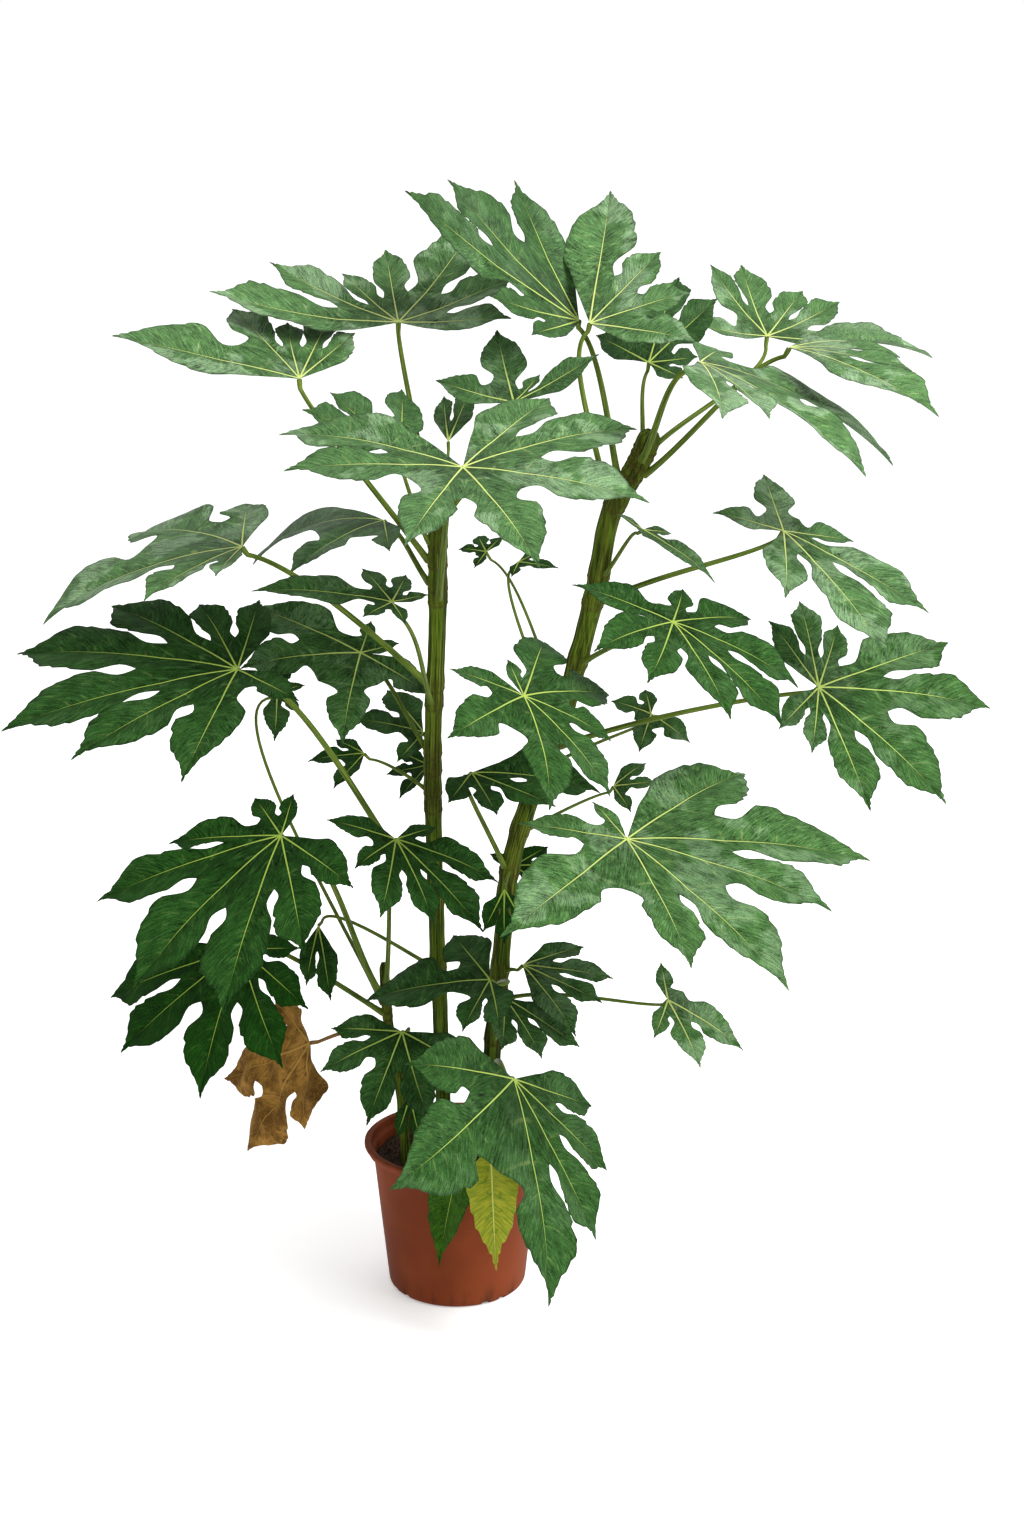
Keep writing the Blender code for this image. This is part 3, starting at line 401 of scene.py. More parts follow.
class Finish:
    """A material in the making: a Principled shader with fixed values, and what varies over the surface."""

    def __init__(self, name, **fixed):
        self.material = bpy.data.materials.new(name)
        self.material.use_nodes = True
        self.tree = self.material.node_tree
        self.shader = self.tree.nodes["Principled BSDF"]
        for socket, value in fixed.items():
            self.shader.inputs[socket.replace("_", " ")].default_value = value

    def node(self, kind, settings, inputs, output=0):
        """Any node: its settings first, then the value or the link of each socket."""
        made = self.tree.nodes.new(kind)
        for name, value in settings.items():
            setattr(made, name, value)
        for socket, value in inputs.items():
            self.put(made.inputs[socket], value)
        return Socket(self, made.outputs[output])

    def put(self, target, value):
        if isinstance(value, Socket):
            self.tree.links.new(value.output, target)
        elif isinstance(value, tuple) and len(value) == 3 and target.type == "RGBA":
            target.default_value = (*value, 1.0)
        else:
            target.default_value = value

    def place(self):
        return self.node("ShaderNodeTexCoord", {}, {}, "Object")

    def attribute(self, name):
        """The three values that the mesh carries under a name."""
        vector = self.node("ShaderNodeAttribute", {"attribute_name": name}, {}, "Vector")
        return [vector.part(axis) for axis in range(3)]

    def vector(self, x, y, z):
        return self.node("ShaderNodeCombineXYZ", {}, {0: x, 1: y, 2: z})

    def stretched(self, vector, scale):
        return self.node("ShaderNodeVectorMath", {"operation": "MULTIPLY"}, {0: vector, 1: scale})

    def noise(self, vector, scale, detail=3.0, roughness=0.55):
        inputs = {"Vector": vector, "Scale": scale, "Detail": detail, "Roughness": roughness}
        return self.node("ShaderNodeTexNoise", {}, inputs)

    def cells(self, vector, scale):
        """Distance to the nearest border between cells."""
        inputs = {"Vector": vector, "Scale": scale}
        return self.node("ShaderNodeTexVoronoi", {"feature": "DISTANCE_TO_EDGE"}, inputs)

    def mix(self, share, first, second):
        return self.node("ShaderNodeMix", {"data_type": "RGBA"}, {0: share, 6: first, 7: second}, 2)

    def bump(self, height, distance):
        return self.node("ShaderNodeBump", {}, {"Height": height, "Distance": distance, "Strength": 1.0})

    def varies(self, **sockets):
        for socket, value in sockets.items():
            self.put(self.shader.inputs[socket.replace("_", " ")], value)
        return self.material


def leaf_finish(name, gloss, deep=LEAF_DEEP):
    """Leaf skin, paler or darker by leaf, partly painted light and shade: pale strokes that follow the side
    veins, partly painted highlight, bright main veins, soft painted sheen, painted shade beside the main
    veins and a duller underside.
    """
    skin = Finish(name, Specular_IOR_Level=gloss)
    place = skin.place()
    beside, along, row = skin.attribute("plan")
    # The looks hold the underside flag, the leaf's tone, which is partly painted light and shade, and the
    # share across.
    under, painted_light_and_tint, rim = skin.attribute("looks")
    stroke_place = skin.vector(row * 8.0 - beside * 360.0, beside * 120.0, painted_light_and_tint * 37.0)
    strokes = skin.noise(stroke_place, 1.0, 4.0, 0.72)
    grain = skin.noise(place, 620.0, 3.0, 0.75)
    patches = skin.noise(place, 55.0, 4.0, 0.6)
    clouds = skin.noise(place, 17.0, 2.0) * 0.75 + patches * 0.25
    from_side_vein = abs(abs(row.maths("FRACT", row) - 0.5) - 0.5)
    side_vein = from_side_vein.between(0.09, 0.02) * (1.0 - rim * 0.8) * patches.between(0.45, 0.62)
    from_main_vein = beside / (LEAF_VEIN_WIDTH * (1.08 - along))
    main_vein = from_main_vein.between(1.10, 0.60) * along.between(0.90, 0.60)
    border = rim.between(0.90, 1.0) * along.between(0.30, 0.42)
    # The shade holds marks of strokes, grain and patches, then darker towards the hub.
    shade = 1.0 + (strokes - 0.5) * 3.8 + (grain - 0.5) * 2.2 + (patches - 0.5) * 1.4
    shade = shade * (0.62 + along.between(0.05, 0.60) * 0.42)
    # Painted shade in the groove beside each main vein, and darker at the blade's edges.
    shade = shade * (1.0 - from_main_vein.between(3.4, 1.0) * 0.25) * (1.0 - border * 0.45)
    # The bluish painted sheen, paler on paler leaves; it also makes the pale strokes and tints the underside.
    sheen = skin.mix(painted_light_and_tint, LEAF_UNDERSIDE_AND_PAINTED_SHEEN_DEEP, LEAF_UNDERSIDE_AND_PAINTED_SHEEN)
    vein = skin.mix(painted_light_and_tint, LEAF_VEIN_DEEP, LEAF_VEIN)
    # The skin runs from deep to pale with the leaf's tone, partly painted light and shade.
    green = skin.mix(painted_light_and_tint, deep, LEAF_PALE)
    # Painted sheen in patches, mostly on the paler leaves.
    green = skin.mix(clouds.between(0.50, 0.56) * painted_light_and_tint * painted_light_and_tint * 0.5, green, LEAF_UNDERSIDE_AND_PAINTED_SHEEN)
    green = skin.stretched(green, skin.vector(shade, shade, shade))
    # Pale strokes along the side veins, partly painted highlight.
    green = skin.mix(strokes.between(0.57, 0.70) * (0.40 + painted_light_and_tint * 0.10), green, sheen)
    green = skin.mix(side_vein * (0.06 + painted_light_and_tint * 0.16), green, LEAF_VEIN)
    green = skin.mix(main_vein * (0.92 - under * 0.3), green, vein)
    green = skin.mix(under * 0.20, green, sheen)
    relief = strokes * 0.9 + grain * 0.25 + patches * 0.8 - side_vein * 0.25 + main_vein * 0.8
    return skin.varies(
        Base_Color=green,
        Roughness=0.42 + strokes * 0.22 + under * 0.2,
        Normal=skin.bump(relief, 0.0010),
    )


def ageing_finish():
    """Yellowing leaf: yellow towards the tip and the edges, still green beside the veins and in specks."""
    skin = Finish("leaf_yellowing", Specular_IOR_Level=0.1)
    beside, along, row = skin.attribute("plan")
    rim = skin.attribute("looks")[2]
    strokes = skin.noise(skin.vector(row * 7.0, beside * 60.0, 3.0), 1.0, 4.0, 0.65)
    specks = skin.noise(skin.place(), 160.0, 3.0)
    main_vein = (beside / (AGEING_VEIN_WIDTH * (1.1 - along))).between(1.15, 0.55)
    colour = skin.mix(strokes.between(0.35, 0.65), AGEING_OLIVE, AGEING_YELLOW)
    colour = skin.mix(specks.between(0.52, 0.68) * (1.0 - rim) * 0.8, colour, AGEING_SPECK)
    colour = skin.mix(main_vein * 0.8, colour, AGEING_VEIN)
    colour = skin.mix(along.between(0.93, 1.0) * 0.8, colour, AGEING_TIP)
    return skin.varies(
        Base_Color=colour,
        Roughness=0.42 + specks * 0.2,
        Normal=skin.bump(strokes * 0.5 + main_vein, 0.0007),
    )


def dried_finish():
    """Dead leaf: tan with dark strokes along the veins, darker patches and a papery surface."""
    skin = Finish("leaf_dried", Specular_IOR_Level=0.05)
    place = skin.place()
    beside, along, row = skin.attribute("plan")
    strokes = skin.noise(skin.vector(row * 5.0, beside * 120.0, 1.0), 1.0, 5.0, 0.7)
    patches = skin.noise(place, 42.0, 4.0)
    lines = skin.noise(skin.stretched(place, (700.0, 700.0, 60.0)), 1.0, 3.0)
    main_vein = (beside / (DRIED_VEIN_WIDTH * (1.1 - along))).between(1.2, 0.5)
    colour = skin.mix(patches.between(0.35, 0.65), DRIED_BROWN, DRIED_TAN)
    colour = skin.mix(strokes.between(0.55, 0.35) * 0.7, colour, DRIED_STROKE)
    colour = skin.mix(lines.between(0.55, 0.75) * 0.5, colour, DRIED_LINE)
    colour = skin.mix(main_vein * 0.6, colour, DRIED_VEIN)
    return skin.varies(
        Base_Color=colour,
        Roughness=0.62 + patches * 0.25,
        Normal=skin.bump(strokes * 0.7 + lines * 0.5 + main_vein, 0.0012),
    )


def petiole_finish(name, streak_colours):
    """Leaf stalk: dark and pale streaks along its length, and a corky foot."""
    skin = Finish(name, Specular_IOR_Level=0.08)
    around, along = skin.attribute("plan")[:2]
    streaks = skin.noise(skin.vector(around * 5.0, along * 6.0, 0.0), 1.0, 4.0, 0.6)
    specks = skin.noise(skin.place(), 300.0, 2.0)
    colour = skin.mix(streaks.between(0.3, 0.7), *streak_colours)
    colour = skin.mix(along.between(0.10, 0.0) * 0.5, colour, PETIOLE_FOOT)
    return skin.varies(
        Base_Color=colour,
        Roughness=0.38 + specks * 0.2,
        Normal=skin.bump(streaks + specks * 0.2, 0.0006),
    )


def bark_finish():
    """Stem: olive green bark with brown streaks along it, painted shade in its grooves, a painted highlight
    on the ridges between them, and corky rings under the leaf scars.
    """
    skin = Finish("stem_bark", Specular_IOR_Level=0.04)
    place = skin.place()
    around, scar = skin.attribute("plan")[:2]
    long_noise = skin.noise(skin.stretched(place, (210.0, 210.0, 9.0)), 1.0, 5.0, 0.65)
    wide_noise = skin.noise(skin.stretched(place, (60.0, 60.0, 7.0)), 1.0, 3.0)
    grooves = skin.noise(skin.vector(around * 14.0, place.part(2) * 9.0, 0.0), 1.0, 3.0, 0.6)
    cross = skin.noise(skin.stretched(place, (30.0, 30.0, 260.0)), 1.0, 2.0)
    colour = skin.mix(long_noise.between(0.38, 0.62), BARK_DARK, BARK_GREEN)
    colour = skin.mix(wide_noise.between(0.50, 0.70) * 0.40, colour, BARK_BROWN)
    # Painted shade in the grooves, and a painted highlight on the ridges between them.
    colour = skin.mix(grooves.between(0.47, 0.38) * 0.85, colour, BARK_GROOVE_PAINTED_SHADE)
    colour = skin.mix(grooves.between(0.57, 0.66) * 0.65, colour, BARK_RIDGE_PAINTED_HIGHLIGHT)
    colour = skin.mix(scar * 0.75 * (0.4 + cross), colour, BARK_SCAR)
    return skin.varies(
        Base_Color=colour,
        Roughness=0.58 + long_noise * 0.3,
        Normal=skin.bump(long_noise + grooves * 1.5 + cross * scar, 0.0014),
    )


def terracotta_finish():
    """Moulded plastic pot: red-brown satin, faint rings and scuffs, earth dust by the rim and the foot."""
    skin = Finish("pot_terracotta", Specular_IOR_Level=0.05)
    place = skin.place()
    height = place.part(2)
    clouds = skin.noise(place, 9.0, 3.0)
    grain = skin.noise(place, 900.0, 2.0)
    scuffs = skin.noise(skin.stretched(place, (60.0, 60.0, 700.0)), 1.0, 3.0)
    smears = skin.noise(skin.stretched(place, (90.0, 90.0, 18.0)), 1.0, 4.0)
    dusty = height.between(0.035, 0.0) * 0.8 + height.between(0.135, 0.165) * 0.35
    dust = smears.between(0.48, 0.72) * dusty
    colour = skin.mix(clouds.between(0.3, 0.7), POT_DEEP, POT_BRIGHT)
    colour = skin.mix(scuffs.between(0.62, 0.78) * 0.20, colour, POT_SCUFF)
    colour = skin.mix(dust, colour, POT_DUST)
    return skin.varies(
        Base_Color=colour,
        Roughness=0.55 + clouds * 0.12 + dust * 0.3,
        Normal=skin.bump(grain * 0.4 + scuffs * 0.3, 0.0002),
    )


def soil_finish():
    """Moist peat: nearly black crumbs with brown fibres and a few pale grains."""
    skin = Finish("soil_dark", Specular_IOR_Level=0.1)
    place = skin.place()
    crumbs = skin.noise(place, 240.0, 5.0, 0.7)
    fibres = skin.noise(skin.stretched(place, (420.0, 90.0, 420.0)), 1.0, 3.0)
    grains = skin.cells(place, 330.0)
    colour = skin.mix(crumbs.between(0.35, 0.7), SOIL_BLACK, SOIL_BROWN)
    colour = skin.mix(fibres.between(0.60, 0.75) * 0.6, colour, SOIL_FIBRE)
    colour = skin.mix(grains.between(0.42, 0.60) * 0.5, colour, SOIL_GRAIN)
    return skin.varies(
        Base_Color=colour,
        Roughness=0.85 + crumbs * 0.15,
        Normal=skin.bump(crumbs + fibres * 0.5, 0.0025),
    )


def unit(vectors):
    return vectors / np.maximum(np.linalg.norm(vectors, axis=-1, keepdims=True), 1e-12)


def smooth_step(values, low, high):
    share = np.clip((values - low) / (high - low), 0.0, 1.0)
    return share * share * (3 - 2 * share)


def smooth_through(knots, values, places):
    """Curve through the values at the knots: cubic pieces, whose slope at a knot is a mean of both sides'."""
    knots = np.asarray(knots, float)
    slopes = np.gradient(values, knots, axis=-1)
    index = np.clip(np.searchsorted(knots, places, side="right") - 1, 0, len(knots) - 2)
    step = knots[index + 1] - knots[index]
    share = (places - knots[index]) / step
    rise = values[..., index + 1] - values[..., index]
    leave = slopes[..., index] * step
    arrive = slopes[..., index + 1] * step
    square = 3 * rise - 2 * leave - arrive
    cube = leave + arrive - 2 * rise
    return values[..., index] + share * (leave + share * (square + share * cube))


def knit(grid, extras):
    """Points, triangles and extras of a grid of places (..., rows, columns, 3); places that meet are one."""
    places = grid.reshape(-1, 3)
    index = np.arange(len(places)).reshape(grid.shape[:-1])
    corners = [index[..., :-1, :-1], index[..., :-1, 1:], index[..., 1:, 1:], index[..., 1:, :-1]]
    quads = np.stack(corners, -1).reshape(-1, 4)
    cells = np.round(places / WELD).astype(np.int64)
    first, same = np.unique(cells, axis=0, return_index=True, return_inverse=True)[1:]
    quads = same.reshape(-1)[quads]
    triangles = np.vstack([quads[:, [0, 1, 2]], quads[:, [0, 2, 3]]])
    a, b, c = triangles.T
    triangles = triangles[(a != b) & (b != c) & (c != a)]
    return places[first], triangles, [extra.reshape(-1, 3)[first] for extra in extras]


def knit_plain(grid):
    """A part whose finish reads no attributes. Its faces point outwards where the rows run up the outside."""
    return *knit(grid, [np.zeros_like(grid), np.zeros_like(grid)]), 0


def point_normals(points, triangles):
    corners = points[triangles]
    crosses = np.cross(corners[:, 1] - corners[:, 0], corners[:, 2] - corners[:, 0])
    normals = np.zeros_like(points)
    for k in range(3):
        np.add.at(normals, triangles[:, k], crosses)
    return unit(normals)


def make_piece(name, parts, surfaces, sharp):
    """Mesh object at the origin that rides on the root and stands for its node. A part has its points, its
    triangles, values for the attributes and the number of its surface. Edges are sharp beyond the angle."""
    points, triangles, extras, numbers = zip(*parts)
    counts = [len(places) for places in points]
    offsets = np.cumsum([0] + counts[:-1])
    triangles = [corners + offset for corners, offset in zip(triangles, offsets)]
    numbers = np.repeat(numbers, [len(corners) for corners in triangles])
    mesh = bpy.data.meshes.new(name)
    mesh.from_pydata(np.vstack(points), [], np.vstack(triangles))
    for label, values in zip(("plan", "looks"), zip(*extras)):
        data = mesh.attributes.new(label, "FLOAT_VECTOR", "POINT").data
        data.foreach_set("vector", np.vstack(values).astype(np.float32).reshape(-1))
    for surface in surfaces:
        mesh.materials.append(surface)
    mesh.polygons.foreach_set("material_index", numbers.astype(np.int32))
    mesh.update()
    mesh.shade_smooth()
    mesh.set_sharp_from_angle(angle=math.radians(sharp))
    piece = bpy.data.objects.new(name + "_fine", mesh)
    bpy.context.scene.collection.objects.link(piece)
    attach(piece, "root")
    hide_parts(name)
    return piece


def tube(path, radii, sides, reference, marks=None):
    """Tube round a path (rings, 3): circles of the given radii square to the path, closed to a point at each
    end. radii is (rings, 1) or (rings, sides + 1), and a circle starts on the side that the reference points
    to. The plan holds the turn away from there, and the marks or else the share of the rings."""
    path = np.vstack([path[:1], path, path[-1:]])
    tangents = unit(np.gradient(path, axis=0))
    tangents[:2] = unit(path[2] - path[1])
    tangents[-2:] = unit(path[-2] - path[-3])
    side = unit(reference - tangents * (tangents @ reference)[:, None])
    other = np.cross(tangents, side)
    turns = np.linspace(0, 2 * math.pi, sides + 1)
    circles = side[:, None] * np.cos(turns)[:, None] + other[:, None] * np.sin(turns)[:, None]
    grid = path[:, None] + circles * np.pad(radii, ((1, 1), (0, 0)))[..., None]
    grid[:, -1] = grid[:, 0]
    shape = grid.shape[:-1]
    if marks is None:
        marks = np.linspace(0, 1, len(path))[:, None]
    around = np.broadcast_to(np.abs(turns / math.pi - 1), shape)
    plan = np.stack([around, np.broadcast_to(marks, shape), np.zeros(shape)], -1)
    return knit(grid, [plan, np.zeros_like(plan)])


def stem_feet(name):
    """Heights at which petioles leave a stem."""
    return np.array(sorted(leaf.foot for leaf in LEAVES if leaf.stem == name))


def stem_radius(name, heights):
    """An even taper with a low swelling under each petiole."""
    stem = STEMS[name]
    low = stem.points[0][2]
    high = stem.points[-1][2]
    share = np.clip((heights - low) / (high - low), 0.0, 1.0)
    even = stem.foot_radius + (stem.top_radius - stem.foot_radius) * share
    apart = (np.asarray(heights)[..., None] - stem_feet(name)) / NODE_LENGTH
    return even * (1 + NODE_SWELLING * np.exp(-(apart**2)).max(-1))


def stem_line(name):
    points = np.array(STEMS[name].points).T
    knots = np.arange(points.shape[1])
    return smooth_through(knots, points, np.linspace(0, knots[-1], STEM_RINGS)).T


def stem_centre(name, height):
    line = stem_line(name)
    return np.array([np.interp(height, line[:, 2], line[:, k]) for k in range(3)])


def bark(name, heights):
    """How far the bark stands up, in shares of the radius, and how much of it is scar, by ring and by side:
    five and nine winding flutes, small bumps, and a slanted ring under each petiole."""
    z = heights[:, None]
    turns = np.linspace(0, 2 * math.pi, STEM_SIDES + 1)
    flutes = np.sin(5 * turns + 9 * np.sin(7 * z)) + 0.7 * np.sin(9 * turns - 14 * np.sin(5 * z + 1))
    knobs = np.sin(3 * turns + 160 * z) * np.sin(2 * turns - 90 * z + 2)
    apart = z - stem_feet(name)[:, None, None]
    slanted = apart + SCAR_BELOW + SCAR_TILT * np.cos(turns)
    scar = np.exp(-((slanted / SCAR_WIDTH) ** 2)).max(0)
    sheath = np.exp(-(((apart + SHEATH_BELOW) / SHEATH_WIDTH) ** 2)).max(0)
    return FLUTES * flutes + KNOBS * knobs + SCARS * scar, np.clip(scar + 0.45 * sheath, 0, 1)


def make_stem(name, surface):
    """Stem: the radius along the line, raised by the bark, and a short rounded end."""
    line = stem_line(name)
    top = line[-1]
    line = np.vstack([line, top + unit(top - line[-2]) * STEM_END[:, :1]])
    radius = stem_radius(name, np.minimum(line[:, 2], top[2]))
    radius[-len(STEM_END):] *= STEM_END[:, 1]
    raised, scar = bark(name, line[:, 2])
    marks = np.pad(scar, ((1, 1), (0, 0)), "edge")
    radii = radius[:, None] * (1 + raised)
    part = tube(line, radii, STEM_SIDES, np.array([0.0, -1.0, 0.0]), marks)
    make_piece(name, [(*part, 0)], [surface], 70.0)


def blade_axes(turn):
    """Columns: towards the middle lobe, to its left, out of the upper face."""
    heading, dip, roll = np.radians(turn)
    level = np.array([math.cos(heading), math.sin(heading), 0.0])
    beside = np.array([-math.sin(heading), math.cos(heading), 0.0])
    ahead = level * math.cos(dip) - np.array([0.0, 0.0, math.sin(dip)])
    left = beside * math.cos(roll) + np.cross(ahead, beside) * math.sin(roll)
    return np.stack([ahead, left, np.cross(ahead, left)], 1)


def bend(flat, reach, droop):
    """Flat places to the drooping blade: each ray from the hub starts up by CUP and curves down evenly."""
    curve = math.radians(droop) / reach
    cup = math.radians(CUP)
    radius = np.maximum(np.linalg.norm(flat, axis=-1, keepdims=True), 1e-9)
    out = (math.sin(cup) - np.sin(cup - curve * radius)) / curve
    height = (np.cos(cup - curve * radius) - math.cos(cup)) / curve
    return np.concatenate([flat * (out / radius), height], -1)


def notch_places(angles, lengths, notch):
    """Flat places between the lobes (lobes + 1, 2), with one more at each side of the petiole."""
    spread = math.radians(BASAL_SPREAD)
    turns = np.concatenate([[angles[0] - spread], (angles[1:] + angles[:-1]) / 2, [angles[-1] + spread]])
    inner = notch * np.minimum(lengths[1:], lengths[:-1])
    radii = np.concatenate([[BASAL_NOTCH * lengths[0]], inner, [BASAL_NOTCH * lengths[-1]]])
    return np.stack([np.cos(turns), np.sin(turns)], 1) * radii[:, None]


def side_starts(angles, lengths, notch):
    """Where the sides of a lobe leave its notches: along its midrib and beside it, each (lobes, 2 sides)."""
    ahead = np.stack([np.cos(angles), np.sin(angles)], 1)
    aside = np.stack([-np.sin(angles), np.cos(angles)], 1)
    notches = notch_places(angles, lengths, notch)
    ends = np.stack([notches[:-1], notches[1:]], 1)
    along = np.einsum("ijk,ik->ij", ends, ahead)
    return along, np.abs(np.einsum("ijk,ik->ij", ends, aside))


def side_widths(angles, lengths, notch, half_width, start):
    """Half width of each side of a lobe at the outline's knots (lobes, 2 sides, knots): from the notch over a
    neck to the widest place and on to the tip, never wider than its part of the gap to the next lobe."""
    gaps = np.concatenate([[OPEN_GAP], np.diff(angles), [OPEN_GAP]])
    gaps = np.stack([gaps[:-1], gaps[1:]], 1)
    length = lengths[:, None]
    root = notch * ROOT * length
    slope = np.tan(np.minimum(gaps / 2, WIDEST_GAP)) * GAP_SHARE
    wide, narrow = (
        np.minimum(half_width * width * length, (root + (length - root) * share) * slope)
        for share, width in (WIDEST, NARROWER)
    )
    outer = np.zeros_like(start, bool)
    outer[0, 0] = True
    outer[-1, 1] = True
    neck = np.minimum(NECK * start, NECK_MOST * length)
    neck = np.where(outer, start + OUTER_NECK * (wide - start), neck)
    shoulder = np.where(outer, start + OUTER_SHOULDER * (wide - start), 0.6 * start + 0.4 * neck)
    middle = 0.56 * wide + 0.5 * narrow
    return np.stack([start, shoulder, neck, wide, middle, narrow, NEAR_TIP * narrow, 0 * neck], -1)


def tooth_bites(edge, length, rng):
    """How far a side steps in between its teeth, which point to the tip and fade out towards its ends."""
    rows = np.arange(LOBE_ROWS + 1)
    teeth = LOBE_ROWS // ROWS_A_VEIN
    deep = rng.uniform(0.15, 1.0, (len(length), 2, teeth))
    number = np.minimum(rows // ROWS_A_VEIN, teeth - 1)
    saw = (rows % ROWS_A_VEIN) / (ROWS_A_VEIN - 1)
    window = smooth_step(edge, 0.18, 0.45) * smooth_step(edge, 1.0, 0.93)
    return TOOTH * length[..., None] * deep[..., number] * (1 - saw) * window


def lobe_sides(angles, lengths, notch, half_width, rng):
    """Both sides of every lobe in its own frame: the distance along the midrib and beside it, each (lobes,
    2 sides, rows). A side runs from the hub to the notch, then round the lobe in a curve with teeth."""
    start, start_width = side_starts(angles, lengths, notch)
    length = lengths[:, None]
    edge = LOBE_SHARES + 0.6 * LOBE_SHARES * (1 - LOBE_SHARES)
    widths = side_widths(angles, lengths, notch, half_width, start_width)
    beside = np.maximum(smooth_through(OUTLINE_KNOTS, widths, edge), 0.0)
    beside = np.maximum(beside - tooth_bites(edge, length, rng), 0.15 * beside)
    along = start[..., None] + (length - start)[..., None] * edge
    along = np.concatenate([start[..., None] * PALM_SHARES, along], -1)
    beside = np.concatenate([start_width[..., None] * PALM_SHARES, beside], -1)
    return along, beside


def midrib_sink(lengths, half_width):
    """Depth of the midribs under the fan (lobes, rows, 1): most at a lobe's widest place, none at its tip."""
    fold = FOLD * half_width * lengths
    depths = np.stack([ROOT_SINK * lengths, fold, NARROWER[1] * fold, 0 * lengths], 1)
    lobe = smooth_through((0.0, WIDEST[0], NARROWER[0], 1.0), depths, LOBE_SHARES)
    palm = ROOT_SINK * lengths[:, None] * PALM_SHARES**1.5
    return np.concatenate([palm, lobe], 1)[..., None]


def blade_plan(leaf, rng):
    """Flat upper face, in values that broadcast to (lobes, rows, columns). A place is the midrib's place plus
    a share of the way to the lobe's side, swept forward like a side vein; the lobe sways to one side."""
    angles, shares = np.array(leaf.lobes, float).T
    angles = np.radians(angles)
    lengths = leaf.reach * shares
    notch = leaf.own.get("notch", NOTCH)
    half_width = leaf.own.get("width", LOBE_HALF_WIDTH)
    along, beside = lobe_sides(angles, lengths, notch, half_width, rng)
    length = lengths[:, None]
    root = 0.8 * ROOT * notch * length
    middle = np.concatenate([root * PALM_SHARES, root + (length - root) * LOBE_SHARES], 1)[..., None]
    across = np.concatenate([-np.array(COLUMNS[::-1]), COLUMNS[1:]])
    side = np.where(across < 0, along[:, 0, :, None], along[:, 1, :, None])
    width = np.where(across < 0, beside[:, 0, :, None], beside[:, 1, :, None])
    progress = np.concatenate([0 * PALM_SHARES, LOBE_SHARES])[:, None]
    length = length[..., None]
    ahead = middle + (side - middle) * np.abs(across) ** SWEEP
    aside = width * across + rng.uniform(-SWAY, SWAY, length.shape) * length * progress**2
    cos = np.cos(angles)[:, None, None]
    sin = np.sin(angles)[:, None, None]
    return {
        "flat": np.stack([ahead * cos - aside * sin, ahead * sin + aside * cos], -1),
        "sink": midrib_sink(lengths, half_width),
        "length": length,
        "width": width,
        "across": across,
        "progress": progress,
        "share": middle / length,
    }


def blade_height(plan, rng, crumple):
    """Height over the drooping fan: the fold along the midrib, an arch between midrib and side, waves at the
    side, a drooping tip, quilting between side veins, and a dead leaf's crossed crumples and curled sides."""
    width = plan["width"]
    progress = plan["progress"]
    across = np.abs(plan["across"])
    one_a_lobe = plan["length"].shape
    phase = rng.uniform(0, 6.3, one_a_lobe) + 2.1 * (plan["across"] > 0)
    droop = rng.uniform(*TIP_DROOP, one_a_lobe) * plan["length"]
    free = smooth_step(progress, 0.0, 0.3)
    fold = FOLD * width * free * across - plan["sink"] * (1 - across)
    arch = ARCH * width * across * (1 - across) * (0.35 + 0.65 * free)
    waves = WAVE * width * np.sin(WAVE_TURN * progress + phase) * across**2 * free
    quilt = QUILT * width * (np.abs(np.sin(math.pi * VEIN_NUMBERS)) - 0.6) * across * (1 - across)
    height = fold + arch + waves + quilt - droop * progress**3
    if crumple:
        x, y = np.moveaxis(plan["flat"], -1, 0)
        fade = np.concatenate([PALM_SHARES**2, np.ones_like(LOBE_SHARES)])[:, None]
        crossed = np.sin(95 * x + 2 * np.sin(70 * y)) + np.sin(120 * y - 60 * x + 1)
        height = height + crumple * fade * crossed - CURL * width * across**2 * free
    return height


def blade_grid(leaf, rng, crumple):
    """Upper face of a blade (lobes, rows, columns, 3) in the blade's axes, its plan and looks, and its ribs,
    which all meet at the hub."""
    flat = blade_plan(leaf, rng)
    across = np.abs(flat["across"])
    rib = np.where(flat["share"] > 0, np.clip(1 - across / RIB_WIDTH, 0, 1), 1.0)
    grid = bend(flat["flat"], leaf.reach, leaf.droop)
    grid[..., 2] += blade_height(flat, rng, crumple) + RIDGE * rib * (1 - flat["share"])
    shape = grid.shape[:-1]
    plan = [flat["width"] * across, flat["share"], VEIN_NUMBERS]
    # Looks: the upper face's flag, the leaf's tone (partly painted light and shade) and the share across.
    looks = [0.0, leaf.tone, across]
    plan = np.stack([np.broadcast_to(value, shape) for value in plan], -1)
    looks = np.stack([np.broadcast_to(value, shape) for value in looks], -1)
    return grid, plan, looks, rib * (1 - 0.8 * flat["share"])


def open_edges(triangles):
    """Both ends of each edge that only one triangle has, in that triangle's order."""
    edges = np.vstack([triangles[:, [0, 1]], triangles[:, [1, 2]], triangles[:, [2, 0]]])
    index, uses = np.unique(np.sort(edges, 1), axis=0, return_inverse=True, return_counts=True)[1:]
    return edges[uses[index.reshape(-1)] == 1].T


